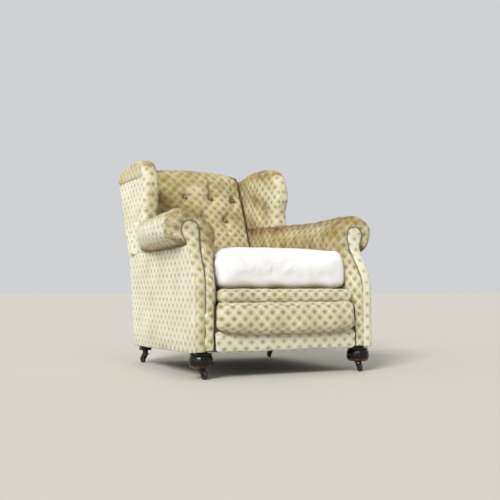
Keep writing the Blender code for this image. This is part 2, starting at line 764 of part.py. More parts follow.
def outside_arms(parent):
    """Lightly padded side covers between the base edge and the underside of the roll."""
    for label, side in SIDES:
        rings = []
        for z in sweep_heights(BASE_FRONT_Z, ROLL_UNDERSIDE_Z - 2 * GAP):
            ring = []
            y0 = front_y(z) + FACING_DEPTH + GAP
            y1 = rear_y(z) - GAP
            stations = [mix(y0, y1, t) for t in (0, 0.02, 0.5, 0.98, 1)]
            swell = (0.004, 0, 0, 0, 0.003)
            for y, cut in zip(stations, swell):
                height = base_z(y) if z == BASE_FRONT_Z else z
                ring.append((side * (outer_x(y) - cut), y, height))
            for y in reversed(stations):
                height = base_z(y) if z == BASE_FRONT_Z else z
                ring.append((side * (outer_x(y) - PANEL), y, height))
            rings.append(ring)
        loft(f"{label}_outside_arm", rings, parent, "side_cover")


def wing_crest():
    """The wing's edge in side view, from the arm up the front, over the top and back."""
    rear_z = WING_TOP_Z - 0.033
    rear = rear_y(rear_z) - BACK_COVER - GAP
    arm_top = ROLL_CENTRE_Z + ROLL_RADIUS + GAP
    drops = ((0.0, 0.171), (0.003, 0.101), (0.039, 0.035), (0.090, 0.010), (0.165, 0.0),
             (0.310, 0.009))
    points = [(WING_FRONT_Y + 0.004, arm_top)]
    points += [(WING_FRONT_Y + behind, WING_TOP_Z - drop) for behind, drop in drops]
    points.append((rear, rear_z))
    return [(point.x, point.y) for point in curve_through(points, 2)]


def wings(parent):
    """Padded wings with a full front roll, and the flat covers on their outsides."""
    arm_top = ROLL_CENTRE_Z + ROLL_RADIUS + GAP
    crest = wing_crest()
    over = BACK_POST_TOP_Z + GAP
    rear_foot = [(back_post_front_y(arm_top) - GAP, arm_top), (back_post_front_y(over) - GAP, over),
                 (rear_y(over) - BACK_COVER - GAP, over)]
    outline = list(reversed(crest)) + rear_foot

    def rounded(y, z):
        """Full rounding on the front and crest, none on the seat and the rear of the wing."""
        if z < arm_top + 0.001 or z <= over and y > back_post_front_y(z) - 0.001:
            return 0.0
        return smooth((rear_y(z) - y) / 0.06) if z < over + 0.03 else 1.0

    for label, side in SIDES:
        levels = []
        for degrees in (-80, -55, -25, 25, 55, 80):
            angle = math.radians(degrees)
            levels.append((WING_CENTRE_X + WING_RADIUS * math.sin(angle),
                           WING_RADIUS * (1 - math.cos(angle)) * 0.9))
        place = lambda y, z, x, side=side: (side * x, y, z)
        slab(f"{label}_wing_pad", outline, levels, place, parent, "patterned_cover", rounded)

        front = WING_FRONT_Y + 0.066
        notch = ROLL_FADE_END_Y + WING_NOTCH
        seam_z = ROLL_UNDERSIDE_Z - GAP
        run = [(y, z - 0.010) for y, z in crest if y > front + 0.012]
        cover = [(rear_y(seam_z) - GAP, seam_z), (rear_y(run[-1][1]) - GAP, run[-1][1])]
        cover += list(reversed(run[:-1]))
        cover += [(front, WING_TOP_Z - 0.041), (front, arm_top), (notch, arm_top), (notch, seam_z)]
        place = lambda y, z, depth, side=side: (side * (WING_OUTER_X - depth), y, z)
        levels = ((PANEL, 0), (0.003, 0), (0, 0.003))
        slab(f"{label}_outside_wing", cover, levels, place, parent, "side_cover")


def button_places():
    """Where the back is buttoned, in two staggered rows."""
    places = []
    for z, count in BUTTON_ROWS:
        for i in range(count):
            places.append(((i - (count - 1) / 2) * BUTTON_PITCH, z))
    return places


def back_top_z(x):
    return BACK_TOP_Z - BACK_SIDE_DROP * (abs(x) / BACK_PAD_X) ** 3


def back_front_y(x, z):
    """The buttoned front of the back, crowned across and pulled in at every button."""
    across = 1.0 - abs(x / BACK_PAD_X) ** 2.4
    crown = mix(BACK_CROWN_LOW, BACK_CROWN_HIGH, smooth((z - 0.40) / 0.40))
    y = back_post_front_y(z) - BACK_EDGE - crown * across
    y += CREST_ROUND * smooth((z - back_top_z(x)) / CREST_ROUND + 1)
    for bx, bz in button_places():
        away = math.hypot(x - bx, z - bz) / TUFT_RADIUS
        y += TUFT_DEPTH * math.exp(-away * away) * min(across * 2, 1.0)
    return y


def back_pad(parent):
    """The inside back: a deep pad in front of the rails that turns over the crest rail."""
    half_columns = [BUTTON_PITCH * i / 4 for i in range(7)]
    half_columns += [mix(half_columns[-1], BACK_PAD_X, 0.6), BACK_PAD_X]
    columns = [-x for x in reversed(half_columns[1:])] + half_columns
    over = BACK_POST_TOP_Z + GAP
    foot = deck_top_z(deck_back_y()) + 0.004
    high, low = BUTTON_ROWS[0][0], BUTTON_ROWS[1][0]
    rows = [mix(foot, low - 2 * TUFT_RADIUS, i / 4) for i in range(5)]
    rows += [low - TUFT_RADIUS, low, low + TUFT_RADIUS, (low + high) / 2 + 0.008]
    rows += [high - TUFT_RADIUS * 0.8, high, high + TUFT_RADIUS, over, over + GAP, None]
    rings = []
    for row in rows:
        ring = []
        for x in columns:
            z = back_top_z(x) if row is None else row
            ring.append((x, back_front_y(x, z), z))
        for x in (BACK_PAD_X, -BACK_PAD_X):
            z = back_top_z(x) if row is None else row
            depth = BACK_COVER + GAP
            if row is not None and row <= over:
                depth += POST_DEPTH + SOFT_GAP
            ring.append((x, rear_y(z) - depth, z))
        rings.append(ring)
    loft("back_pad", rings, parent, "patterned_cover")


def outside_back(parent):
    """The plain cover that closes the rear, from the base edge to the crest."""
    rings = []
    half_low = outer_x(rear_y(BASE_FRONT_Z)) - PANEL - GAP
    top_z = BACK_TOP_Z - BACK_COVER_DROP
    for z in (base_z(rear_y(BASE_FRONT_Z)), KNEE_Z, BACK_POST_TOP_Z, top_z):
        y = rear_y(z)
        half = min(half_low, outer_x(y) - PANEL - GAP)
        ring = [(-half, y - BACK_COVER), (half, y - BACK_COVER), (half, y - 0.002)]
        ring += [(half - 0.004, y), (-half + 0.004, y), (-half, y - 0.002)]
        rings.append([(x, y_, z) for x, y_ in ring])
    loft("outside_back", rings, parent, "side_cover")


def lathe(name, profile, sides, parent, material, axis="Z", place=(0, 0, 0), turn=0.0):
    """Turn a profile of (radius, height) about an axis and close its ends."""
    rings = []
    for radius, height in profile:
        ring = []
        for i in range(sides):
            angle = 2 * math.pi * i / sides
            a, b = radius * math.cos(angle), radius * math.sin(angle)
            ring.append((a, b, height) if axis == "Z" else (height, a, b))
        rings.append(ring)
    item = loft(name, rings, parent, material)
    item.location = place
    item.rotation_euler.z = turn
    return item


def back_buttons(parent):
    """Covered buttons, sunk in the tufts and leaning with the back."""
    shank = 0.008
    profile = ((0.08, 0.0), (0.12, shank), (0.95, shank + 0.001), (1.0, shank + 0.003),
               (0.75, shank + 0.006), (0.30, shank + 0.0075))
    profile = [(BUTTON_RADIUS * r, h) for r, h in profile]
    number = 0
    for x, z in button_places():
        number += 1
        item = lathe(f"back_button_{number}", profile, 10, parent, "patterned_cover")
        item.rotation_euler.x = math.pi / 2 - math.atan(HIGH_RAKE) * 0.75
        item.location = (x, back_front_y(x, z) - 2 * SOFT_GAP, z)


def seat_cushion(parent):
    """The loose calico cushion, crowned and soft-cornered, lying on the deck."""
    box = (-CUSHION_X, CUSHION_X, CUSHION_FRONT_Y, CUSHION_BACK_Y)
    edge = CUSHION_EDGE_HEIGHT
    levels = ((GAP, 0.016), (0.006, 0.005), (0.018, 0.0), (edge * 0.55, 0.0),
              (edge * 0.72, 0.003), (edge * 0.90, 0.009), (edge, 0.024),
              (mix(edge, CUSHION_HEIGHT, 0.6), 0.070), (mix(edge, CUSHION_HEIGHT, 0.9), 0.130),
              (CUSHION_HEIGHT, 0.200))
    place = lambda x, y, lift: (x, y, deck_top_z(y) + lift)
    pillow("seat_cushion", box, CUSHION_CORNER, levels, place, parent, "calico")


def bun_feet(parent):
    """Turned front feet: a squat bun under a thin plate, on a spigot into the frame."""
    top = rail_low_z(BUN_SPIGOT_RADIUS) - GAP
    half = (BUN_TOP_Z - BUN_PLATE_THICK - BUN_LOW_Z) / 2
    steepest = 75
    profile = []
    for degrees in range(-steepest, steepest + 1, 15):
        angle = math.radians(degrees)
        rise = math.sin(angle) / math.sin(math.radians(steepest))
        profile.append((BUN_RADIUS * math.cos(angle) ** BUN_SQUARENESS,
                        BUN_LOW_Z + half * (1 + rise)))
    plate = BUN_RADIUS * 0.9
    profile += [(plate, BUN_TOP_Z - BUN_PLATE_THICK), (plate, BUN_TOP_Z)]
    profile += [(BUN_SPIGOT_RADIUS, BUN_TOP_Z), (BUN_SPIGOT_RADIUS, top)]
    for label, side in SIDES:
        place = (side * FOOT_X, 0, 0)
        lathe(f"{label}_bun_foot", profile, FOOT_SIDES, parent, "ebonised_wood", place=place)


def rear_feet(parent):
    """Square stub feet under the back posts, with a turned neck down to the castor."""
    half = REAR_FOOT_SIDE / 2
    sides = 16
    for label, side in SIDES:
        rings = []
        for z, radius in ((BUN_LOW_Z, REAR_NECK_RADIUS), (REAR_FOOT_LOW_Z, REAR_NECK_RADIUS),
                          (REAR_FOOT_LOW_Z, None), (None, None)):
            ring = []
            for i in range(sides):
                angle = 2 * math.pi * (i + 0.5) / sides
                a, b = math.cos(angle), math.sin(angle)
                reach = radius if radius else half / max(abs(a), abs(b))
                x, y = side * REAR_FOOT_X + reach * a, REAR_FOOT_Y + reach * b
                level = rail_low_z(y) - 2 * GAP - STRAP_THICK if z is None else z
                ring.append((x, y, level))
            rings.append(ring)
        loft(f"{label}_rear_foot", rings, parent, "ebonised_wood")


def castor(name, x, y, turn, parent):
    """A plate castor: a forged horn that swivels under the foot, and its wheel on an axle."""
    swivel = empty(f"{name}_swivel", parent, (x, y, 0))
    swivel.rotation_euler.z = turn
    axle_z = WHEEL_RADIUS * math.cos(math.pi / WHEEL_SIDES)
    top = BUN_LOW_Z - GAP
    plate_low = top - CASTOR_PLATE_THICK
    inner = WHEEL_WIDTH / 2 + CHEEK_CLEARANCE
    outer = inner + CHEEK_THICK

    # side view of one cheek, from under the plate down to the boss round the axle
    outline = [(CHEEK_TOP_FRONT, plate_low), (-CHEEK_TOP_BACK, plate_low)]
    for degrees in range(150, 331, 30):
        angle = math.radians(degrees)
        outline.append((AXLE_BOSS_RADIUS * math.cos(angle) - CASTOR_TRAIL,
                        AXLE_BOSS_RADIUS * math.sin(angle) + axle_z))
    bm = bmesh.new()
    for sign in (-1, 1):
        near, far = [], []
        for y_, z_ in outline:
            near.append(bm.verts.new((sign * inner, y_, z_)))
            far.append(bm.verts.new((sign * outer, y_, z_)))
        count = len(outline)
        for i in range(count):
            k = (i + 1) % count
            bm.faces.new((near[i], near[k], far[k], far[i]))
        bm.faces.new(near)
        bm.faces.new(far)
    mesh = bpy.data.meshes.new(f"{name}_cheeks")
    bmesh.ops.recalc_face_normals(bm, faces=bm.faces)
    bm.to_mesh(mesh)
    bm.free()
    cheeks = bpy.data.objects.new(f"{name}_cheeks", mesh)
    bpy.context.scene.collection.objects.link(cheeks)
    cheeks.parent = swivel
    cheeks.hide_render = True
    cheeks.display_type = "WIRE"

    axle_half = outer + AXLE_END
    axle = lathe(f"{name}_axle", ((AXLE_RADIUS, -axle_half), (AXLE_RADIUS, axle_half)),
                 AXLE_SIDES, swivel, "iron", axis="X", place=(0, -CASTOR_TRAIL, axle_z))
    axle.hide_render = True
    axle.display_type = "WIRE"

    sink = 0.004
    plate = ((outer * 1.02, plate_low - sink), (CASTOR_PLATE_RADIUS * 0.9, plate_low - sink * 0.3),
             (CASTOR_PLATE_RADIUS, plate_low + 0.0004), (CASTOR_PLATE_RADIUS, top))
    horn = lathe(f"{name}_horn", plate, 16, swivel, "iron")
    for tool in (cheeks, axle):
        join = horn.modifiers.new("join", "BOOLEAN")
        join.operation = "UNION"
        join.object = tool

    wheel_bore = AXLE_RADIUS + AXLE_CLEARANCE
    half = WHEEL_WIDTH / 2
    rim = 0.0018
    profile = ((wheel_bore, -half), (WHEEL_RADIUS - rim, -half), (WHEEL_RADIUS, -half + rim),
               (WHEEL_RADIUS, half - rim), (WHEEL_RADIUS - rim, half), (wheel_bore, half))
    hub = empty(f"{name}_hub", swivel, (0, -CASTOR_TRAIL, axle_z))
    rings = []
    for i in range(WHEEL_SIDES):
        angle = 2 * math.pi * (i + 0.5) / WHEEL_SIDES
        rings.append([(w, r * math.cos(angle), r * math.sin(angle)) for r, w in profile])
    loft(f"{name}_wheel", rings, hub, "wheel", looped=True)


def castors(parent):
    """Front castors trail forwards and rear ones backwards, as the chair was last pushed."""
    for label, side in SIDES:
        castor(f"front_{label}_castor", side * FOOT_X, 0, side * math.radians(-12), parent)
        castor(f"rear_{label}_castor", side * REAR_FOOT_X, REAR_FOOT_Y,
               math.pi + side * math.radians(-10), parent)


clear_scene()
MATERIALS = make_materials()
CHAIR = empty("chair", place=(0, -ORIGIN_Y, 0))
timber_frame(CHAIR)
seat_webbing(CHAIR)
bottom_cloth(CHAIR)
seat_springs(CHAIR)
seat_deck(CHAIR)
seat_front(CHAIR)
arm_pads(CHAIR)
arm_facings(CHAIR)
arm_piping(CHAIR)
outside_arms(CHAIR)
wings(CHAIR)
back_pad(CHAIR)
outside_back(CHAIR)
back_buttons(CHAIR)
seat_cushion(CHAIR)
bun_feet(CHAIR)
rear_feet(CHAIR)
castors(CHAIR)
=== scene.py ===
"""The looks of a worn wing armchair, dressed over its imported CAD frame.

Every soft piece is shaped from its CAD solid: remeshed fine, relaxed until its facets are
gone, then worked with the folds, tufts and sags that the photograph shows. The cloth's
pattern runs in UV coordinates that are real metres. Metres, Z up, front towards -Y.
"""
import json
import math

import bpy
import numpy as np
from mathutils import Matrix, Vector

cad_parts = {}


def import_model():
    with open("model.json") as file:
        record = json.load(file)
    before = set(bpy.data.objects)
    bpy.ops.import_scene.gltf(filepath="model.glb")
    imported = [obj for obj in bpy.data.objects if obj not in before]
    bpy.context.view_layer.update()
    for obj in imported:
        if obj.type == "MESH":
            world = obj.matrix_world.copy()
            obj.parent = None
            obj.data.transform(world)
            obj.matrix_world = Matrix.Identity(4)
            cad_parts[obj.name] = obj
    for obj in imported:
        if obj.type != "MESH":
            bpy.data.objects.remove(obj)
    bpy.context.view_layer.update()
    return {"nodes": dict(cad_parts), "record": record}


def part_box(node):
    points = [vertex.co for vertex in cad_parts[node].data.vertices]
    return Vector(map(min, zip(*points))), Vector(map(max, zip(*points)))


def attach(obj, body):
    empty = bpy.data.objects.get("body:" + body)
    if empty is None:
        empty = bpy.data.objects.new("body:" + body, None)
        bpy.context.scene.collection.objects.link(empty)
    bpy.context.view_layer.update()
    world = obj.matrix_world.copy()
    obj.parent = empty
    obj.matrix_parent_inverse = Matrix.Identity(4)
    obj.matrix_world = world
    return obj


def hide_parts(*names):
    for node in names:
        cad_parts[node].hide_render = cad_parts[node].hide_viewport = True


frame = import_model()
SCENE = bpy.context.scene

# The photograph's view.
CAMERA_PLACE = (-1.41523, -3.06517, 0.31648)
CAMERA_PITCH = 2.893
CAMERA_TURN = -26.091
CAMERA_LENS = 56.8

# The lights: their way round from the front and up, their width (degrees) and their strength.
KEY_LIGHT = (-50, 37, 22, 2.8)
FILL_LIGHT = (-68, 7, 60, 0.5)
SKY_STRENGTH = 0.60
FLOOR_REACH = 60.0

# The cloth's pattern, in metres.
REPEAT_WIDE = 0.0465
REPEAT_HIGH = 0.0452
THREAD = 0.0011
FLORET_RADIUS = 0.0104
FLORET_LIFT = 0.0012
FLORET_FLATNESS = 1.12
PETALS = 5.0
PETAL_DEPTH = 0.17
PETAL_RAGGED = 0.007
VEIN_STRENGTH = 0.75

# The trellis, in shares of a repeat: where its double line runs, and half the line's width.
LINE_PLACE = 0.42
LINE_HALF = (0.042, 0.062)
OUTLINE_HALF = (0.085, 0.110)

# Colours as they look on the screen. A cloth has a ground, a line, gold and taupe florets, and
# a soiled ground. The bright palette is a paler copy of the same cloth: partly cleaner, faded
# cloth and partly painted light. The brown dirt colour also serves as painted shade.
FRONT_CLOTH = ("E8E0AE", "FEFBE8", "A49B4A", "8C8264", "DED39C")
CLEAN_AND_LIT_CLOTH = ("FFFBDF", "FFFFF0", "C9C286", "B2AB94", "FCF7DA")
FLORET_HEART = "5E5440"
GOLDEN_STAIN = "C9B368"
BROWN_DIRT_AND_SHADE = "8A6638"
FLOOR = "CAC6BC"
BACKDROP = "D0D1D3"

# How fine each kind of piece is remeshed, in metres, and how many rounds relax its facets.
FINENESS = {
    "arm_pad": (0.005, 22),
    "back_pad": (0.0045, 10),
    "back_button": (0.0012, 4),
    "wing_pad": (0.0045, 14),
    "outside_cover": (0.004, 5),
    "front_rail_band": (0.003, 4),
    "front_panel": (0.004, 9),
    "front_lip_roll": (0.003, 5),
    "seat_platform": (0.008, 4),
    "arm_facing": (0.0024, 6),
    "arm_piping": (0.0014, 2),
    "outside_back": (0.0056, 4),
    "seat_cushion": (0.0076, 7),
}

# The arms' section, and places on them: X is out from the middle, and BEHIND runs back from
# the arm's front.
ROLL_RADIUS = 0.078
ROLL_CENTRE_X = 0.366
ROLL_CENTRE_Z = 0.548
SHOULDER_ANGLE = 2.6
ROLL_UNDERSIDE_Z = 0.468
ROLL_UPPER_Z = 0.56
INNER_EDGE_X = 0.262
OUTER_FACE_X = 0.356
SCROLL_EYE_X = 0.3553
SCROLL_EYE_Z = 0.535
GUTTER_Z = 0.472
RING_BEHIND = 0.115

# What use has done to the arms.
ARM_TOP_SAG = 0.016
ARM_FRONT_SAG = 0.005
ARM_BULGE = 0.013
ARM_FOLD_PITCH = 0.026
ARM_FOLD_DEPTH = {-1: 0.0015, 1: 0.0028}
ARM_PLEATS = 26
ARM_PLEAT_DEPTH = 0.0014
RIGHT_HEAD_SPREAD = 0.019
NOSE_REACH = 0.015
STRIP_REACH = 0.009
GUTTER_DEPTH = 0.012

# The seam under the strip that runs over each wing.
CREST_SEAM_Z = 0.807
CREST_SEAM_DEPTH = 0.0028

# The wings' stuffing: where it starts to be thinner than its solid, and by which share.
WING_OUTER_X = 0.345
WING_THINNER = 0.10
WING_THINNER_IN_FRONT = 0.20

# The buttoned back.
BUTTON_PITCH = 0.129
BUTTON_ROWS = ((0.750, 4), (0.645, 3))
BUTTON_SINK = 0.008
DIMPLE_DEPTH = 0.011
DIMPLE_WIDTH = 0.022
DEEPEST_TUFT = 0.017
CREASE_TOP_Z = 0.868
STAIN_Z = 0.632
FADED_X = -0.03
FADED_Z = 0.79

# The cushion: how it starts for the simulation, what blows it up and how far it may go.
CUSHION_SHRINK = 0.003
SWELL_PRESSURE = 2.0
SWELL_FRAMES = 20
SWELL_LIMIT = 0.004

SIDES = (("left", -1), ("right", 1))


def srgb(text):
    """A colour written as on the screen, turned into the linear values that shaders take."""
    parts = [int(text[i:i + 2], 16) / 255 for i in (0, 2, 4)]
    return tuple(c / 12.92 if c <= 0.04045 else ((c + 0.055) / 1.055) ** 2.4 for c in parts)


def smooth(t):
    t = np.clip(t, 0.0, 1.0)
    return t * t * (3.0 - 2.0 * t)


def after(value, start, length):
    """Nought up to start and one from start + length on."""
    return smooth((value - start) / length)


def before(value, end, length):
    """One up to end - length and nought from end on."""
    return smooth((end - value) / length)


def bump_at(distance, width):
    """A soft hump of height one."""
    return np.exp(-(distance / width) ** 2)


def wobble(points, length, seed):
    """Smooth noise of about unit height whose waves are about that long."""
    waves = np.random.default_rng(seed).normal(size=(10, 3))
    waves *= 2 * math.pi / length / np.linalg.norm(waves, axis=1)[:, None]
    phases = np.random.default_rng(seed + 1).uniform(0, 2 * math.pi, 10)
    return np.sin(points @ waves.T + phases).sum(axis=1) / math.sqrt(10)


def least_at_height(values, heights, step=0.012):
    """The least value found at the height of each point, read in levels of that step."""
    bottom = heights.min()
    level = ((heights - bottom) / step).astype(int)
    least = np.full(level.max() + 1, np.inf)
    np.minimum.at(least, level, values)
    return np.interp(heights, bottom + (np.arange(len(least)) + 0.5) * step, least)


class Shader:
    """A Principled material built up by short calls."""

    def __init__(self, name):
        self.material = bpy.data.materials.new(name)
        self.material.use_nodes = True
        self.tree = self.material.node_tree
        self.surface = self.tree.nodes["Principled BSDF"]

    def put(self, socket, value):
        if isinstance(value, bpy.types.NodeSocket):
            self.tree.links.new(value, socket)
        elif socket.type == "RGBA" and len(value) == 3:
            socket.default_value = (*value, 1.0)
        else:
            socket.default_value = value

    def node(self, kind, **settings):
        made = self.tree.nodes.new("ShaderNode" + kind)
        for key, value in settings.items():
            setattr(made, key, value)
        return made

    def math(self, operation, a, b=0.0, clamp=False):
        made = self.node("Math", operation=operation, use_clamp=clamp)
        self.put(made.inputs[0], a)
        self.put(made.inputs[1], b)
        return made.outputs[0]

    def ramp(self, value, low, high, to_low=0.0, to_high=1.0):
        """A smooth step from to_low to to_high as value goes from low to high."""
        made = self.node("MapRange", interpolation_type="SMOOTHSTEP")
        for socket, number in zip(made.inputs, (value, low, high, to_low, to_high)):
            self.put(socket, number)
        return made.outputs[0]

    def blend(self, share, a, b, kind="MIX"):
        made = self.node("Mix", data_type="RGBA", blend_type=kind)
        self.put(made.inputs[0], share)
        self.put(made.inputs[6], a)
        self.put(made.inputs[7], b)
        return made.outputs[2]

    def place(self):
        return self.node("TexCoord").outputs["Object"]

    def noise(self, scale, detail=3.0, roughness=0.5):
        made = self.node("TexNoise")
        self.put(made.inputs["Vector"], self.place())
        self.put(made.inputs["Scale"], scale)
        self.put(made.inputs["Detail"], detail)
        self.put(made.inputs["Roughness"], roughness)
        return made.outputs[0]

    def split(self, vector):
        """The parts of a vector along X, Y and Z."""
        made = self.node("SeparateXYZ")
        self.put(made.inputs[0], vector)
        return made.outputs[:3]

    def channels(self, name):
        """The three channels of a painted attribute."""
        attribute = self.node("Attribute", attribute_name=name)
        made = self.node("SeparateColor")
        self.put(made.inputs[0], attribute.outputs["Color"])
        return made.outputs[:3]

    def relief(self, layers):
        """Bump layers of (height socket, distance in metres), one on top of another."""
        normal = None
        for height, distance in layers:
            made = self.node("Bump")
            self.put(made.inputs["Height"], height)
            self.put(made.inputs["Distance"], distance)
            if normal:
                self.put(made.inputs["Normal"], normal)
            normal = made.outputs[0]
        self.put(self.surface.inputs["Normal"], normal)

    def set(self, **values):
        for key, value in values.items():
            self.put(self.surface.inputs[key.replace("_", " ")], value)


def trellis_lines(s, cells):
    """The pale double line between the diamonds, and the darker outline beside it."""
    away = [s.math("ABSOLUTE", s.math("SUBTRACT", s.math("ABSOLUTE", cell), LINE_PLACE)) for cell in cells]
    edge = s.math("MINIMUM", *away)
    line = s.ramp(edge, *LINE_HALF, 1.0, 0.0)
    outline = s.math("SUBTRACT", s.ramp(edge, *OUTLINE_HALF, 1.0, 0.0), line, clamp=True)
    return line, outline


def leafy_floret(s, x, y):
    """A bundle of ragged, veined petals about the middle of a diamond, and its dark heart."""
    tall = s.math("MULTIPLY", y, FLORET_FLATNESS)
    radius = s.math("SQRT", s.math("ADD", s.math("MULTIPLY", x, x), s.math("MULTIPLY", tall, tall)))
    angle = s.math("ARCTAN2", x, y)
    petals = s.math("COSINE", s.math("MULTIPLY", angle, PETALS))
    reach = s.math("ADD", s.math("MULTIPLY", petals, FLORET_RADIUS * PETAL_DEPTH),
                   FLORET_RADIUS * (1 - PETAL_DEPTH))
    ragged = s.math("MULTIPLY", s.math("SUBTRACT", s.noise(380.0, 2.0), 0.5), PETAL_RAGGED)
    inside = s.math("ADD", s.math("SUBTRACT", reach, radius), ragged)
    leaves = s.ramp(inside, -0.0006, 0.0014)
    between = s.math("COSINE", s.math("MULTIPLY", angle, 2 * PETALS))
    veins = s.math("MULTIPLY", s.ramp(between, -0.2, -0.9, 0.0, VEIN_STRENGTH),
                   s.ramp(radius, 0.003, 0.006))
    heart = s.ramp(radius, 0.0016, 0.0048, 1.0, 0.0)
    return s.math("MULTIPLY", leaves, s.math("SUBTRACT", 1.0, veins)), heart


def cloth(name, own, other):
    """The jacquard: a trellis of pale double lines with a leafy floret in every diamond.

    own and other are palettes, and the third channel of the painted soil says how far a place
    has turned from the first to the second: partly fading and cleaner cloth, partly painted light.
    """
    s = Shader(name)
    # The first channel is brown dirt and painted shade; the third is partly painted light.
    brown, yellow, turned = s.channels("soil_and_lighting")
    palettes = [[srgb(text) for text in palette] for palette in (own, other)]
    ground, line, gold, taupe, soiled = [s.blend(turned, a, b) for a, b in zip(*palettes)]
    u, v, _ = s.split(s.node("UVMap", uv_map="cloth").outputs[0])
    across = s.math("DIVIDE", u, REPEAT_WIDE)
    up = s.math("DIVIDE", v, REPEAT_HIGH)
    rising = s.math("ADD", across, up)
    falling = s.math("SUBTRACT", across, up)
    cell_a = s.math("SUBTRACT", s.math("FRACT", rising), 0.5)
    cell_b = s.math("SUBTRACT", s.math("FRACT", falling), 0.5)
    trellis, outline = trellis_lines(s, (cell_a, cell_b))
    x = s.math("MULTIPLY", s.math("ADD", cell_a, cell_b), REPEAT_WIDE / 2)
    y = s.math("MULTIPLY", s.math("SUBTRACT", cell_a, cell_b), REPEAT_HIGH / 2)
    floret, heart = leafy_floret(s, x, s.math("ADD", y, FLORET_LIFT))

    row = s.math("SUBTRACT", s.math("FLOOR", rising), s.math("FLOOR", falling))
    odd = s.math("PINGPONG", row, 1.0)
    drift = s.ramp(s.noise(9.0, 2.0), 0.42, 0.6)
    shade = s.math("ABSOLUTE", s.math("SUBTRACT", odd, s.math("MULTIPLY", drift, 0.75)))
    flower = s.blend(shade, gold, taupe)

    warp, weft = [s.math("SINE", s.math("MULTIPLY", place, 2 * math.pi / THREAD)) for place in (u, v)]
    weave = s.math("MULTIPLY", warp, weft)
    thread_gap = s.ramp(weave, -0.9, 0.4, 0.78, 1.0)
    wear = s.noise(7.0, 4.0, roughness=0.6)
    worn = s.math("MULTIPLY", s.ramp(wear, 0.35, 0.72, 1.0, 0.72), s.ramp(yellow, 0.1, 1.0, 1.0, 0.5))

    colour = s.blend(s.ramp(wear, 0.3, 0.75), ground, soiled)
    colour = s.blend(s.math("MULTIPLY", outline, 0.62), colour, flower)
    colour = s.blend(s.math("MULTIPLY", trellis, 0.9), colour, line)
    colour = s.blend(s.math("MULTIPLY", floret, s.math("MULTIPLY", worn, thread_gap)), colour, flower)
    colour = s.blend(s.math("MULTIPLY", heart, 0.12), colour, srgb(FLORET_HEART))
    cloud = s.noise(28.0, 5.0, roughness=0.65)
    golden = s.math("MULTIPLY", yellow, s.ramp(cloud, 0.25, 0.75, 0.55, 1.0))
    colour = s.blend(golden, colour, srgb(GOLDEN_STAIN), "MULTIPLY")
    # Dirt and painted shade: the brown channel also darkens the gap under the arm rolls, the back's side
    # creases, its top rear edge and the buttons.
    dirt = s.math("MULTIPLY", brown, s.ramp(cloud, 0.2, 0.65, 0.35, 1.0))
    colour = s.blend(dirt, colour, srgb(BROWN_DIRT_AND_SHADE), "MULTIPLY")
    s.set(Base_Color=colour, Roughness=0.92, Sheen_Weight=0.12, Sheen_Roughness=0.5,
          Specular_IOR_Level=0.2)
    figure = s.math("ADD", s.math("MULTIPLY", trellis, 0.5), floret)
    s.relief(((s.noise(45.0, 3.0), 0.0022), (figure, 0.0006), (weave, 0.0004)))
    return s.material


def calico():
    """Plain white cotton with a fine weave, faint tan dirt low down and small creases."""
    s = Shader("calico")
    brown, yellow, _ = s.channels("soil_and_lighting")
    cloud = s.noise(9.0, 4.0, roughness=0.6)
    colour = s.blend(s.ramp(cloud, 0.35, 0.75, 0.0, 0.5), srgb("E8E8E9"), srgb("DFDEDC"))
    colour = s.blend(s.math("MULTIPLY", yellow, 0.5), colour, srgb("DCCDAA"), "MULTIPLY")
    colour = s.blend(brown, colour, srgb("A98C62"), "MULTIPLY")
    s.set(Base_Color=colour, Roughness=0.9, Sheen_Weight=0.12, Specular_IOR_Level=0.2)
    s.relief(((s.noise(30.0, 4.0, roughness=0.6), 0.003), (s.noise(900.0, 1.0), 0.0004)))
    return s.material


def plain(name, light, dark, roughness, metallic=0.0, scale=60.0, grain=0.0006):
    """A small-grained material between two colours."""
    s = Shader(name)
    mottle = s.noise(scale, 5.0, roughness=0.62)
    s.set(Base_Color=s.blend(s.ramp(mottle, 0.3, 0.7), srgb(dark), srgb(light)), Metallic=metallic,
          Roughness=s.ramp(mottle, 0.25, 0.75, roughness * 0.8, min(roughness * 1.2, 1.0)))
    s.relief(((s.noise(scale * 6, 3.0), grain),))
    return s.material


def ebonised():
    """Black polish on turned wood, rubbed to red-brown along the lower rims."""
    s = Shader("ebonised_wood")
    _, _, height = s.split(s.place())
    scratches = s.noise(85.0, 5.0, roughness=0.7)
    low = s.ramp(height, 0.044, 0.056, 1.0, 0.0)
    rubbed = s.ramp(s.math("MULTIPLY", low, s.ramp(scratches, 0.36, 0.56)), 0.25, 0.7)
    chips = s.ramp(scratches, 0.66, 0.72)
    bare = s.math("MAXIMUM", rubbed, s.math("MULTIPLY", chips, 0.8))
    s.set(Base_Color=s.blend(bare, srgb("080706"), srgb("512A1C")),
          Roughness=s.ramp(scratches, 0.3, 0.75, 0.14, 0.4), Specular_IOR_Level=0.35)
    s.relief(((s.noise(140.0, 3.0), 0.0005),))
    return s.material


def stripes(name, light, dark, pitch):
    """A strap or timber whose colour runs in fine lines along the chair's depth."""
    s = Shader(name)
    across, _, _ = s.split(s.place())
    drift = s.math("MULTIPLY", s.noise(14.0, 4.0), pitch * 6)
    line = s.math("SINE", s.math("DIVIDE", s.math("ADD", across, drift), pitch))
    s.set(Base_Color=s.blend(s.ramp(line, -1.0, 1.0), srgb(dark), srgb(light)), Roughness=0.75)
    s.relief(((line, 0.0004),))
    return s.material


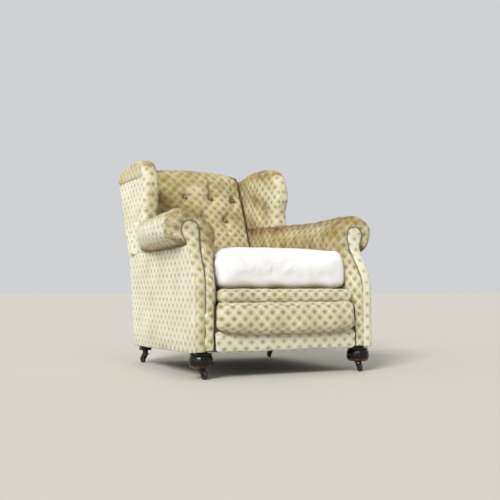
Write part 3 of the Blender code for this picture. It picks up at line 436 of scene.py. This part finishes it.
def make_materials():
    return {
        "patterned_cover": cloth("patterned_cover", FRONT_CLOTH, CLEAN_AND_LIT_CLOTH),
        # The side cover takes the paler palette: partly painted light on the sides that face the key
        # light.
        "side_cover": cloth("side_cover", CLEAN_AND_LIT_CLOTH, FRONT_CLOTH),
        "piping": plain("piping", "7C7250", "4E4732", 0.9, scale=160.0, grain=0.0008),
        "calico": calico(),
        # Aged beech, darkened further as painted shade so the rails seen in the gaps read as dark shade.
        "beech": stripes("beech", "5F4B37", "423326", 0.0016),
        "webbing": stripes("webbing", "A08A62", "6B5738", 0.0012),
        "black_cloth": plain("black_cloth", "2A2826", "131211", 0.95, scale=300.0),
        "spring_steel": plain("spring_steel", "8E8A84", "5B4A3A", 0.45, 0.9),
        "ebonised_wood": ebonised(),
        "iron": plain("iron", "4A4744", "24211F", 0.5, 0.75, scale=110.0),
        "wheel": plain("wheel", "3C3A38", "171615", 0.45, 0.35, scale=110.0),
    }


def apply_modifiers(piece):
    evaluated = piece.evaluated_get(bpy.context.evaluated_depsgraph_get())
    baked = bpy.data.meshes.new_from_object(evaluated)
    piece.modifiers.clear()
    piece.data = baked


def shaped(node, kind):
    """A fine, relaxed mesh in the form of a CAD node's solid."""
    piece = bpy.data.objects.new(node + "_cover", frame["nodes"][node].data.copy())
    SCENE.collection.objects.link(piece)
    remesh = piece.modifiers.new("remesh", "REMESH")
    relax = piece.modifiers.new("relax", "SMOOTH")
    remesh.mode = "VOXEL"
    remesh.voxel_size, relax.iterations = FINENESS[kind]
    relax.factor = 0.5
    apply_modifiers(piece)
    return piece


def read(items, name, wide, kind=np.float32):
    """One property of all of a mesh's points, corners or faces, with a row for each."""
    values = np.empty(len(items) * wide, kind)
    items.foreach_get(name, values)
    return values.reshape(-1, wide)


def points_of(piece):
    """Places and normals of a mesh's points."""
    mesh = piece.data
    return read(mesh.vertices, "co", 3, float), read(mesh.vertex_normals, "vector", 3).astype(float)


def move_points(piece, places):
    piece.data.vertices.foreach_set("co", places.ravel())
    piece.data.update()


def lay_cloth(mesh, places, flat):
    """Write the cloth's coordinates, in metres, at every corner of the mesh."""
    corners = read(mesh.loops, "vertex_index", 1, np.int64)[:, 0]
    counts = read(mesh.polygons, "loop_total", 1, np.int64)[:, 0]
    facing = np.repeat(read(mesh.polygon_normals, "vector", 3), counts, axis=0)
    middles = np.repeat(read(mesh.polygons, "center", 3).astype(float), counts, axis=0)
    layer = mesh.uv_layers.new(name="cloth")
    layer.data.foreach_set("uv", np.stack(flat(places[corners], facing, middles), axis=1).ravel())


def dress(piece, node, slot, flat=None, soil_and_lighting=None):
    mesh = piece.data
    places, _ = points_of(piece)
    if flat:
        lay_cloth(mesh, places, flat)
    # The painted soil: brown dirt and painted shade, golden stain, and the paler palette's share, partly
    # painted light.
    paint = mesh.color_attributes.new("soil_and_lighting", "FLOAT_COLOR", "POINT")
    colours = np.ones((len(places), 4))
    colours[:, :3] = np.clip(np.stack(soil_and_lighting(places), axis=1), 0, 1) if soil_and_lighting else 0.0
    paint.data.foreach_set("color", colours.ravel())
    mesh.materials.clear()
    mesh.materials.append(MATERIALS[slot])
    mesh.shade_smooth()
    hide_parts(node)
    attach(piece, "chair")


# Each of these turns places (p), face normals (n) and face middles (c) into cloth coordinates.
def front_cloth(p, n, c):
    """A piece seen from the front that turns over its top and bottom."""
    edge = p[:, 1].min()
    over = np.where(n[:, 2] > 0, 1.0, -1.0) * (p[:, 1] - edge) * (np.abs(n[:, 2]) > 0.5)
    return 1.06 * p[:, 0], 1.05 * (p[:, 2] + over)


def facing_cloth(p, n, c):
    """A narrow strip seen from the front, with the sides turned out."""
    return p[:, 0] + 0.8 * p[:, 1] * np.sign(n[:, 0]) * (np.abs(n[:, 0]) > 0.7), 1.04 * p[:, 2]


def side_cloth(p, n, c):
    """A cover seen from the side."""
    return p[:, 1], p[:, 2] + 0.012


def back_cloth(p, n, c):
    """The inside of the back, which turns over the crest."""
    return p[:, 0] + 0.022, np.where(n[:, 2] > 0.75, p[:, 1], p[:, 2] * 1.06)


def arm_cloth(side):
    """Round an arm: up the inside, over the roll and under it, and on over its front end."""
    shoulder_z = ROLL_CENTRE_Z + ROLL_RADIUS * math.sin(SHOULDER_ANGLE)
    shoulder = ROLL_RADIUS * SHOULDER_ANGLE

    def flat(p, n, c):
        out = side * p[:, 0]
        centre_x = ROLL_CENTRE_X - 0.08 * after(p[:, 1], 0.03, 0.17)
        angle = np.arctan2(p[:, 2] - ROLL_CENTRE_Z, out - centre_x)
        inner = (side * c[:, 0] < ROLL_CENTRE_X - 0.05) & (c[:, 2] < shoulder_z)
        round_it = np.where(inner, shoulder + shoulder_z - p[:, 2], ROLL_RADIUS * angle)
        inmost = least_at_height(out, np.minimum(c[:, 2], shoulder_z))
        end = c[:, 1] - least_at_height(c[:, 1], c[:, 2]) < 0.012
        u = p[:, 1] - np.where(end | inner, np.maximum(out - inmost, 0), 0)
        return u, np.where(end, p[:, 2] - shoulder_z - shoulder, -round_it)
    return flat


def wing_cloth(side):
    """Round a wing: its two sides, the front between them and the top."""
    def flat(p, n, c):
        out = side * p[:, 0]
        along = p[:, 1] - p[:, 1].min() + 0.02
        u = np.where(np.abs(n[:, 0]) > 0.35, np.sign(n[:, 0] * side) * along, out - 0.293)
        top = n[:, 2] > 0.8
        return np.where(top, p[:, 1], u), np.where(top, out, p[:, 2])
    return flat


# Each of these gives the brown dirt and painted shade, the golden stain and the share of the other
# palette, which is partly painted light, at places (p), or is given the side or the strength and
# returns a function that does.
def arm_soil_and_lighting(side):
    """Dirt where hands rub, over the roll's front and along the inner edge; a golden stain with painted
    shade under the roll; and painted light, the paler palette, on the roll's outer side.
    """
    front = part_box("left_arm_pad")[0].y
    left = side < 0

    def soil_and_lighting(p):
        out, z = side * p[:, 0], p[:, 2]
        behind = p[:, 1] - front
        patchy = 0.6 + 0.4 * wobble(p, 0.09, 5)
        top = after(z, ROLL_UPPER_Z, 0.05)
        head = before(behind, 0.20, 0.13) * top
        rear_top = top * after(behind, 0.08, 0.1)
        ring = bump_at(behind - RING_BEHIND, 0.026) * after(z, 0.50, 0.05)
        # Painted shade: brown in the gap under the roll, over its real golden stain.
        under = bump_at(z - ROLL_UNDERSIDE_Z - 0.006, 0.025) * (out > 0.36)
        inner = bump_at(out - INNER_EDGE_X, 0.04) * after(z, 0.36, 0.1)
        high = after(z, 0.46, 0.04)
        brown = (0.22 if left else 0.24) * head * patchy + (0 if left else 0.75) * rear_top
        brown += (0.42 if left else 0.2) * ring + 0.75 * under
        brown += (0.26 + 0.3 * high if left else 0.48) * inner * patchy
        yellow = 0.5 * top + 0.75 * inner + 0.1 * patchy + 0.4 * ring + 0.35 * head + 1.1 * under
        # Painted light: the roll's outer side and its tail take the paler palette of the side cover.
        outside = after(out, 0.36, 0.035) * after(behind, 0.13, 0.03) * before(z, 0.60, 0.05)
        tail = after(out, 0.330, 0.006) * after(p[:, 1], 0.10, 0.08)
        outside = np.maximum(outside, tail)
        return brown * (1 - 0.5 * outside - 0.4 * tail), yellow * (1 - 0.8 * outside), outside
    return soil_and_lighting


def back_soil_and_shade(p):
    """Brown along the crest and at one spot, painted shade at the side edges and along the top rear edge,
    and golden but for a faded patch.
    """
    x, z = p[:, 0], p[:, 2]
    patchy = 0.5 + 0.5 * wobble(p, 0.11, 9)
    crest = after(z, 0.845, 0.03)
    # Painted shade: brown along the back's top rear edge, which lies in shadow.
    band = after(z, 0.883, 0.005)
    spot = bump_at(np.hypot(x, z - STAIN_Z), 0.014)
    # Painted shade: brown in the dark crease where the back's sides meet the wings.
    edge = after(np.abs(x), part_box("back_pad")[1].x - 0.010, 0.008)
    aside = after(x, -0.1, 0.2)
    brown = 0.22 * crest * patchy + 0.9 * spot + 0.22 * patchy + 0.8 * edge
    brown += 0.13 * (1 - aside) + 0.4 * band
    yellow = 0.75 - 0.32 * aside + 0.2 * patchy
    faded = 0.9 * bump_at(np.hypot((x - FADED_X) / 1.6, z - FADED_Z), 0.03)
    return brown * (1 - 0.7 * faded), yellow * (1 - 0.5 * faded), faded


def wing_soil_and_light(side):
    """Golden inside and over the top, and painted light where it turns outwards: the paler palette, as
    bright as the outside cover.
    """
    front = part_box("left_wing_pad")[0].y

    def soil_and_lighting(p):
        patchy = 0.5 + 0.5 * wobble(p, 0.11, 9)
        crest = after(p[:, 2], 0.83, 0.03)
        ahead = before(p[:, 1] - front, 0.12, 0.12)
        # Painted light: the outward-turning face takes the paler palette.
        outside = after(side * p[:, 0], 0.315, 0.04)
        inside = 1 - outside
        clean = (0.8 if side > 0 else 0.45) * ahead * (1 - 0.6 * crest)
        brown = (0.44 * patchy + 0.14 * crest * patchy) * (0.2 + 0.8 * inside) * (1 - clean)
        yellow = ((0.45 + 0.25 * patchy) * inside + 0.5 * crest) * (1 - clean)
        return brown, yellow, np.maximum(outside, 0.5 * clean) * (1 - 0.8 * crest)
    return soil_and_lighting


def faint_soil_and_light(strength, turned=0.0):
    """Faint patches of dirt, and more of it near the floor; turned is a share of the paler palette,
    painted light.
    """
    def soil_and_lighting(p):
        patchy = 0.5 + 0.5 * wobble(p, 0.13, 3)
        low = before(p[:, 2], 0.16, 0.06)
        brown = (0.12 * strength * patchy + 0.18 * low) * (1 - 0.7 * turned)
        return brown, 0.25 * strength * patchy * (1 - 0.5 * turned), turned + 0.1 * patchy
    return soil_and_lighting


def outside_soil(p):
    """Nearly clean cloth, golden on the strip over the wing and brown along its seam."""
    brown, yellow, turned = faint_soil_and_light(0.5)(p)
    strip = after(p[:, 2], CREST_SEAM_Z, 0.004)
    seam = bump_at(p[:, 2] - CREST_SEAM_Z, 0.003)
    return brown + 0.04 * strip + 0.7 * seam, yellow + 0.55 * strip, turned + 0.3 * strip


def button_painted_shade(p):
    """Brown and golden all over: painted shade that makes each button read as the dark spot of its dimple.
    """
    everywhere = np.ones(len(p))
    return 0.8 * everywhere, 0.9 * everywhere, 0 * everywhere


def cushion_soil(p):
    """Tan dirt along the bottom edge."""
    low = before(p[:, 2], 0.36, 0.04)
    patchy = 0.5 + 0.5 * wobble(p, 0.06, 91)
    return 0.75 * low * (0.4 + 0.6 * patchy), 0.15 * patchy, 0 * low


def underside_rise(side, behind):
    """How far the worn roll's underside has left its straight line, along the arm."""
    if side < 0:
        return 0.017 - 0.026 * smooth(behind / 0.60)
    return -0.015 * before(behind, 0.30, 0.25)


def arm_folds(p, side, behind):
    """The cover's waves, the folds on its inner face and the pleats behind the roll's front."""
    out, z = side * p[:, 0], p[:, 2]
    lift = 0.0016 + 0.0012 * wobble(p, 0.07, 21 + side) + 0.0007 * wobble(p, 0.03, 31 + side)
    inner_face = (out < 0.30) & (z < 0.57)
    folds = np.sin(2 * math.pi * (behind + 0.15 * (z - 0.4)) / ARM_FOLD_PITCH)
    lift += ARM_FOLD_DEPTH[side] * folds * inner_face * before(behind, 0.26, 0.14) * after(z, 0.31, 0.08)
    angle = np.arctan2(z - SCROLL_EYE_Z, out - SCROLL_EYE_X)
    pleats = np.sin(angle * ARM_PLEATS) * bump_at(behind - RING_BEHIND, 0.018) * (z > 0.50)
    lift += ARM_PLEAT_DEPTH * pleats
    if side < 0:
        lift -= 0.003 * bump_at(behind - 0.135, 0.008) * (out > 0.33) * (z > 0.49)
    return lift


def settle_arm(moved, p, n, side, behind):
    """Sag the top, wear the underside, and spread the front over the facing's edge."""
    out, z = side * p[:, 0], p[:, 2]
    tail = after(p[:, 1], 0.20, 0.09) * (out > 0.315)
    moved[:, 2] -= ARM_FRONT_SAG * after(z, 0.58, 0.04) * before(behind, 0.20, 0.1)
    moved[:, 2] -= ARM_TOP_SAG * after(z, 0.50, 0.09) * bump_at(behind - 0.46, 0.26)
    low = before(z, 0.53, 0.05) * after(out, 0.335, 0.02) * (1 - tail)
    moved[:, 2] += low * underside_rise(side, behind)
    bulge = bump_at(z - 0.52, 0.06) * before(out, 0.31, 0.03) * before(behind, 0.34, 0.2)
    moved[:, 0] -= side * ARM_BULGE * bulge
    if side > 0:
        head = before(behind, 0.16, 0.12) * after(out, 0.37, 0.04)
        moved[:, 0] += (RIGHT_HEAD_SPREAD + 0.003 * wobble(p, 0.045, 27)) * head
    front_end = before(p[:, 1] - least_at_height(p[:, 1], z), 0.040, 0.02) * after(out, 0.275, 0.02)
    nose = front_end * bump_at(z - 0.452, 0.050) * before(out, 0.350, 0.01)
    strip = front_end * before(z, 0.47, 0.05) * (out < 0.335)
    moved[:, 0] += side * (NOSE_REACH * nose + STRIP_REACH * strip)
    moved[:, 1] -= 0.004 * nose
    gutter = bump_at(z - GUTTER_Z, 0.009) * (out > 0.345) * (1 - tail)
    flush = np.where(out > 0.331, np.maximum(OUTER_FACE_X - out, 0), 0) * tail * (n[:, 0] * side > 0.3)
    moved[:, 0] += side * (flush - GUTTER_DEPTH * gutter)


def arms():
    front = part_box("left_arm_pad")[0].y
    for label, side in SIDES:
        node = f"{label}_arm_pad"
        piece = shaped(node, "arm_pad")
        p, n = points_of(piece)
        behind = p[:, 1] - front
        moved = p + n * arm_folds(p, side, behind)[:, None]
        settle_arm(moved, p, n, side, behind)
        move_points(piece, moved)
        dress(piece, node, "patterned_cover", arm_cloth(side), arm_soil_and_lighting(side))


def crease(p, ends, width):
    """How deep in the fold between two ends in the back's plane each point lies."""
    (x0, z0), (x1, z1) = ends
    run = np.array([x1 - x0, z1 - z0])
    away = np.stack([p[:, 0] - x0, p[:, 2] - z0], axis=1)
    t = np.clip(away @ run / (run @ run), 0, 1)
    gap = away - t[:, None] * run
    return bump_at(np.hypot(gap[:, 0], gap[:, 1]), width)


def tufting(p):
    """How far the buttons and the creases about them pull each point of the back in."""
    upper, lower = [[((i - (count - 1) / 2) * BUTTON_PITCH, z) for i in range(count)]
                    for z, count in BUTTON_ROWS]
    depth = np.zeros(len(p))
    for x, z in upper:
        pull = 0.009 if abs(x - BUTTON_PITCH / 2) < 0.01 else 0.002
        depth += pull * crease(p, ((x, z), (x * 1.01, CREASE_TOP_Z)), 0.008)
    for x, z in lower:
        depth += 0.004 * crease(p, ((x, z), (x, z - 0.06)), 0.009)
        for near_x in (x - BUTTON_PITCH / 2, x + BUTTON_PITCH / 2):
            depth += 0.002 * crease(p, ((x, z), (near_x, upper[0][1])), 0.016)
    for x, z in upper + lower:
        depth += DIMPLE_DEPTH * bump_at(np.hypot(p[:, 0] - x, p[:, 2] - z), DIMPLE_WIDTH)
    return depth


def back():
    piece = shaped("back_pad", "back_pad")
    p, n = points_of(piece)
    front = after(-n[:, 1], 0.1, 0.4)
    depth = tufting(p) - 0.0015 * wobble(p, 0.06, 41) - 0.0009 * wobble(p, 0.028, 43)
    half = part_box("back_pad")[1].x
    across = np.abs(p[:, 0]) / half
    aside = after(np.abs(p[:, 0]), half - 0.016, 0.016)
    p[:, 2] += (0.010 + 0.009 * across ** 2) * after(p[:, 2], 0.79, 0.07)
    p[:, 1] += (np.minimum(depth, DEEPEST_TUFT) + 0.026 * aside) * front
    p[:, 0] += np.sign(p[:, 0]) * 0.005 * aside
    move_points(piece, p)
    dress(piece, "back_pad", "patterned_cover", back_cloth, back_soil_and_shade)


def buttons():
    for number in range(1, sum(count for _, count in BUTTON_ROWS) + 1):
        node = f"back_button_{number}"
        piece = shaped(node, "back_button")
        p, _ = points_of(piece)
        p[:, 1] += BUTTON_SINK
        move_points(piece, p)
        dress(piece, node, "patterned_cover", back_cloth, button_painted_shade)


def wing_pad(label, side):
    """A wing's stuffing, thin in front, full where it turns outwards and drawn in at its foot."""
    node = f"{label}_wing_pad"
    piece = shaped(node, "wing_pad")
    p, n = points_of(piece)
    low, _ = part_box(node)
    behind = p[:, 1] - low.y
    z = p[:, 2].copy()
    ahead = 1 - after(behind, 0.058, 0.012)
    near = before(behind, 0.17, 0.14)
    lift = 0.001 + 0.0014 * wobble(p, 0.08, 51 + side) + 0.0006 * wobble(p, 0.03, 53)
    p += n * lift[:, None]
    out = side * p[:, 0]
    out += np.maximum(WING_OUTER_X - out, 0) * (WING_THINNER + WING_THINNER_IN_FRONT * near)
    out += 0.0125 * ahead * after(out, 0.300, 0.035)
    p[:, 0] = side * out
    lean = 0.008 * after(z, 0.80, 0.08) if side < 0 else 0.0
    p[:, 1] += (0.026 * before(z - low.z, 0.11, 0.10) + lean) * near
    p[:, 2] -= 0.024 * before(z - low.z, 0.06, 0.06)
    move_points(piece, p)
    dress(piece, node, "patterned_cover", wing_cloth(side), wing_soil_and_light(side))


def settle_outside_wing(p, side, node):
    """Draw the lower ledge down onto the arm, and turn the front edge in and up."""
    arm_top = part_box("left_arm_pad")[1].z
    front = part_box(node)[0].y
    notch = p[p[:, 2] < arm_top - 0.03, 1].min()
    p[:, 2] -= 0.024 * before(p[:, 2], arm_top + 0.030, 0.025) * (p[:, 1] < notch - 0.001)
    p[:, 0] -= side * 0.003 * before(p[:, 1], front + 0.020, 0.020)
    p[:, 2] += 0.004 * before(p[:, 1], front + 0.07, 0.06) * (p[:, 2] > 0.84)


def settle_outside_arm(p, side, node):
    """Let the upper edge follow the roll's worn underside."""
    behind = p[:, 1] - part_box("left_arm_pad")[0].y
    rise = np.maximum(underside_rise(side, behind) - 0.002, 0.006)
    p[:, 2] += rise * after(p[:, 2], 0.38, 0.09)


def outside_covers(label, side):
    """The outside wing, with the strip over its top, and the outside arm."""
    for name, settle in (("wing", settle_outside_wing), ("arm", settle_outside_arm)):
        node = f"{label}_outside_{name}"
        piece = shaped(node, "outside_cover")
        p, n = points_of(piece)
        lift = 0.0007 * wobble(p, 0.12, 61) + 0.0004 * wobble(p, 0.045, 63)
        lift -= CREST_SEAM_DEPTH * bump_at(p[:, 2] - CREST_SEAM_Z, 0.0035)
        lift += 0.002 * after(p[:, 2], CREST_SEAM_Z, 0.006)
        p += n * lift[:, None]
        settle(p, side, node)
        move_points(piece, p)
        dress(piece, node, "side_cover", side_cloth, outside_soil)


def wings():
    for label, side in SIDES:
        wing_pad(label, side)
        outside_covers(label, side)


def settle_band(p):
    """Draw the rail's band down at its lower edge, and up and back behind the panel."""
    z = p[:, 2].copy()
    p[:, 2] += 0.005 * after(z, 0.14, 0.015) - 0.004 * before(z, 0.11, 0.015)
    p[:, 1] += 0.008 * after(z, 0.144, 0.012)


def settle_panel(p):
    """Let the pouch hang lowest in its middle and bulge there, and draw in its ends."""
    low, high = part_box("front_panel")
    x = p[:, 0].copy()
    share = (p[:, 2] - low.z) / (high.z - low.z)
    ends = np.clip(np.abs(x) / high.x, 0, 1)
    middle = 1 - ends ** 4
    p[:, 2] += (0.015 * ends ** 6 - 0.006 * middle) * smooth(1 - share * 1.6)
    front_side = before(p[:, 1], high.y - 0.018, 0.01)
    p[:, 1] -= 0.007 * bump_at(share - 0.36, 0.35) * middle * front_side
    p[:, 0] -= 0.021 * after(x, 0.24, 0.04) * (0.6 + 0.4 * share)
    p[:, 0] -= 0.003 * before(x, -0.24, 0.04)
    p[:, 2] += 0.006 * after(share, 0.75, 0.25)


def settle_lip(p):
    """Lift the roll's front edge, and taper and set back its ends."""
    low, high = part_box("front_lip_roll")
    share = (p[:, 2] - low.z) / (high.z - low.z)
    end = np.clip((np.abs(p[:, 0]) - high.x + 0.024) / 0.024, 0, 1) ** 2
    middle = (low.z + high.z) / 2 + 0.002
    p[:, 2] += 0.009 * smooth(share) * before(p[:, 1], low.y + 0.08, 0.04)
    p[:, 2] += (middle - p[:, 2]) * 0.55 * end
    p[:, 1] += 0.012 * end


def seat():
    soil_and_lighting = faint_soil_and_light(1.0, 0.1)
    for node, settle, node_soil_and_light, fill in (
            # Painted light: the band takes mostly the paler palette to make up for the panel's shade.
            ("front_rail_band", settle_band, faint_soil_and_light(0.3, 0.7), 0.9),
            ("front_panel", settle_panel, soil_and_lighting, 0.7),
            ("front_lip_roll", settle_lip, soil_and_lighting, 0.7),
            ("seat_platform", None, soil_and_lighting, 0.7)):
        piece = shaped(node, node)
        p, n = points_of(piece)
        lift = 0.0012 * wobble(p, 0.07, 71) + 0.0006 * wobble(p, 0.028, 73)
        p += n * lift[:, None]
        if settle:
            settle(p)
        move_points(piece, p)
        dress(piece, node, "patterned_cover", front_cloth, node_soil_and_light)


def facings():
    for label, side in SIDES:
        node = f"{label}_arm_facing"
        piece = shaped(node, "arm_facing")
        p, n = points_of(piece)
        p[:, 0] -= side * 0.0022 * smooth(-n[:, 0] * side / 0.6)
        move_points(piece, p)
        # Painted light: the right facing takes mostly the paler palette.
        soil_and_lighting = faint_soil_and_light(1.0, 0.15 if side < 0 else 0.9)
        dress(piece, node, "patterned_cover", facing_cloth, soil_and_lighting)

        node = f"{label}_arm_piping"
        piece = shaped(node, "arm_piping")
        p, n = points_of(piece)
        move_points(piece, p - 0.0008 * n)
        dress(piece, node, "piping")


def outside_back():
    piece = shaped("outside_back", "outside_back")
    p, n = points_of(piece)
    p += n * (0.0008 * wobble(p, 0.13, 81))[:, None]
    move_points(piece, p)
    dress(piece, "outside_back", "side_cover", front_cloth, faint_soil_and_light(0.7))


def blow_up(piece):
    """Where a cloth simulation under pressure takes a piece's points, within a limit."""
    start, _ = points_of(piece)
    swell = piece.modifiers.new("swell", "CLOTH")
    swell.settings.use_pressure = True
    swell.settings.uniform_pressure_force = SWELL_PRESSURE
    swell.settings.effector_weights.gravity = 0.0
    swell.collision_settings.use_collision = False
    for number in range(1, SWELL_FRAMES + 1):
        SCENE.frame_set(number)
    apply_modifiers(piece)
    SCENE.frame_set(1)
    move = points_of(piece)[0] - start
    far = np.linalg.norm(move, axis=1)
    return start + move * (np.minimum(far, SWELL_LIMIT) / np.maximum(far, 1e-9))[:, None]


def cushion():
    """The loose cushion, blown up by a cloth simulation and then settled on the deck."""
    node = "seat_cushion"
    piece = shaped(node, node)
    p, n = points_of(piece)
    move_points(piece, p - n * CUSHION_SHRINK)
    p = blow_up(piece)
    _, n = points_of(piece)
    low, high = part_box(node)
    edge = bump_at(p[:, 2] - 0.44, 0.05) * (n[:, 1] < -0.2)
    creases = 0.0008 * wobble(p, 0.09, 93) + 0.0005 * wobble(p, 0.035, 95) * (0.3 + edge)
    p += n * creases[:, None]
    level = after(p[:, 2], low.z, high.z - low.z)
    ahead = before(p[:, 1], low.y + 0.20, 0.2)
    p[:, 2] += 0.009 * ahead * (1 - level) + 0.012 * level
    corner = after(p[:, 0], 0.17, 0.08) * before(p[:, 1], low.y + 0.09, 0.08)
    p[:, 2] += 0.014 * corner * level
    p[:, 0] += 0.007 * before(p[:, 0], -0.2, 0.06)
    deck = low.z + (high.y - p[:, 1]) / (high.y - low.y) * 0.017 + 0.008 * ahead
    p[:, 2] = np.maximum(p[:, 2], deck)
    move_points(piece, p)
    finer = piece.modifiers.new("finer", "SUBSURF")
    finer.levels = finer.render_levels = 1
    apply_modifiers(piece)
    dress(piece, node, "calico", None, cushion_soil)


def bottom_cloth():
    """The black dust cover, one thin sheet tacked under the rails and sagging between them."""
    low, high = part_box("bottom_cloth")
    wide, deep = high.x - low.x, high.y - low.y
    steps = 24
    xs = np.linspace(low.x, high.x, steps + 1)
    ys = np.linspace(low.y, high.y, steps + 1)
    grid_x, grid_y = np.meshgrid(xs, ys)
    fall = (grid_y - low.y) / deep * (high.z - low.z - 0.001)
    sag = np.sin((grid_x - low.x) / wide * math.pi) * np.sin((grid_y - low.y) / deep * math.pi)
    heights = high.z - 0.0008 - fall - 0.006 * sag
    places = np.stack([grid_x, grid_y, heights], axis=-1).reshape(-1, 3)
    faces = []
    for row in range(steps):
        for column in range(steps):
            a = row * (steps + 1) + column
            faces.append((a, a + 1, a + steps + 2, a + steps + 1))
    mesh = bpy.data.meshes.new("bottom_cloth_cover")
    mesh.from_pydata(places.tolist(), [], faces)
    piece = bpy.data.objects.new("bottom_cloth_cover", mesh)
    SCENE.collection.objects.link(piece)
    dress(piece, "bottom_cloth", "black_cloth")


def dress_solids():
    """Materials for the CAD nodes that stay in view as they are."""
    for entry in frame["record"]["subparts"]:
        node = frame["nodes"][entry["node"]]
        if not node.hide_render:
            node.data.materials.clear()
            node.data.materials.append(MATERIALS[entry["material_slot"]])


def camera():
    lens = bpy.data.cameras.new("camera")
    lens.lens = CAMERA_LENS
    lens.sensor_width = 36.0
    eye = bpy.data.objects.new("camera", lens)
    eye.location = CAMERA_PLACE
    eye.rotation_euler = (math.radians(90 + CAMERA_PITCH), 0, math.radians(CAMERA_TURN))
    SCENE.collection.objects.link(eye)
    SCENE.camera = eye


def ground():
    """A plain, pale, wide floor."""
    mesh = bpy.data.meshes.new("floor")
    corners = [(x * FLOOR_REACH, y * FLOOR_REACH, 0) for x, y in ((-1, -1), (1, -1), (1, 1), (-1, 1))]
    mesh.from_pydata(corners, [], [(0, 1, 2, 3)])
    s = Shader("floor")
    s.set(Base_Color=srgb(FLOOR), Roughness=0.8, Specular_IOR_Level=0.2)
    mesh.materials.append(s.material)
    floor = bpy.data.objects.new("floor", mesh)
    SCENE.collection.objects.link(floor)


def sky():
    """An even white light all round, and a plain grey in its place where it is seen."""
    world = bpy.data.worlds.new("world")
    world.use_nodes = True
    tree = world.node_tree
    light = tree.nodes["Background"]
    light.inputs[0].default_value = (1.0, 1.0, 1.0, 1)
    light.inputs[1].default_value = SKY_STRENGTH
    seen = tree.nodes.new("ShaderNodeBackground")
    seen.inputs[0].default_value = (*srgb(BACKDROP), 1)
    rays = tree.nodes.new("ShaderNodeLightPath")
    share = tree.nodes.new("ShaderNodeMath")
    share.operation = "MAXIMUM"
    tree.links.new(rays.outputs["Is Camera Ray"], share.inputs[0])
    tree.links.new(rays.outputs["Is Glossy Ray"], share.inputs[1])
    either = tree.nodes.new("ShaderNodeMixShader")
    tree.links.new(share.outputs[0], either.inputs[0])
    tree.links.new(light.outputs[0], either.inputs[1])
    tree.links.new(seen.outputs[0], either.inputs[2])
    tree.links.new(either.outputs[0], tree.nodes["World Output"].inputs[0])
    SCENE.world = world


def sun(name, azimuth, height, spread, strength):
    """A broad, even light from that far round from the front and that far up, in degrees."""
    light = bpy.data.lights.new(name, "SUN")
    light.angle = math.radians(spread)
    light.energy = strength
    lamp_object = bpy.data.objects.new(name, light)
    lamp_object.rotation_euler = (math.radians(90 - height), 0, math.radians(azimuth))
    SCENE.collection.objects.link(lamp_object)


MATERIALS = make_materials()
arms()
back()
buttons()
wings()
seat()
facings()
outside_back()
cushion()
bottom_cloth()
dress_solids()
camera()
ground()
sky()
sun("key", *KEY_LIGHT)
sun("fill", *FILL_LIGHT)
SCENE.view_settings.view_transform = "Standard"
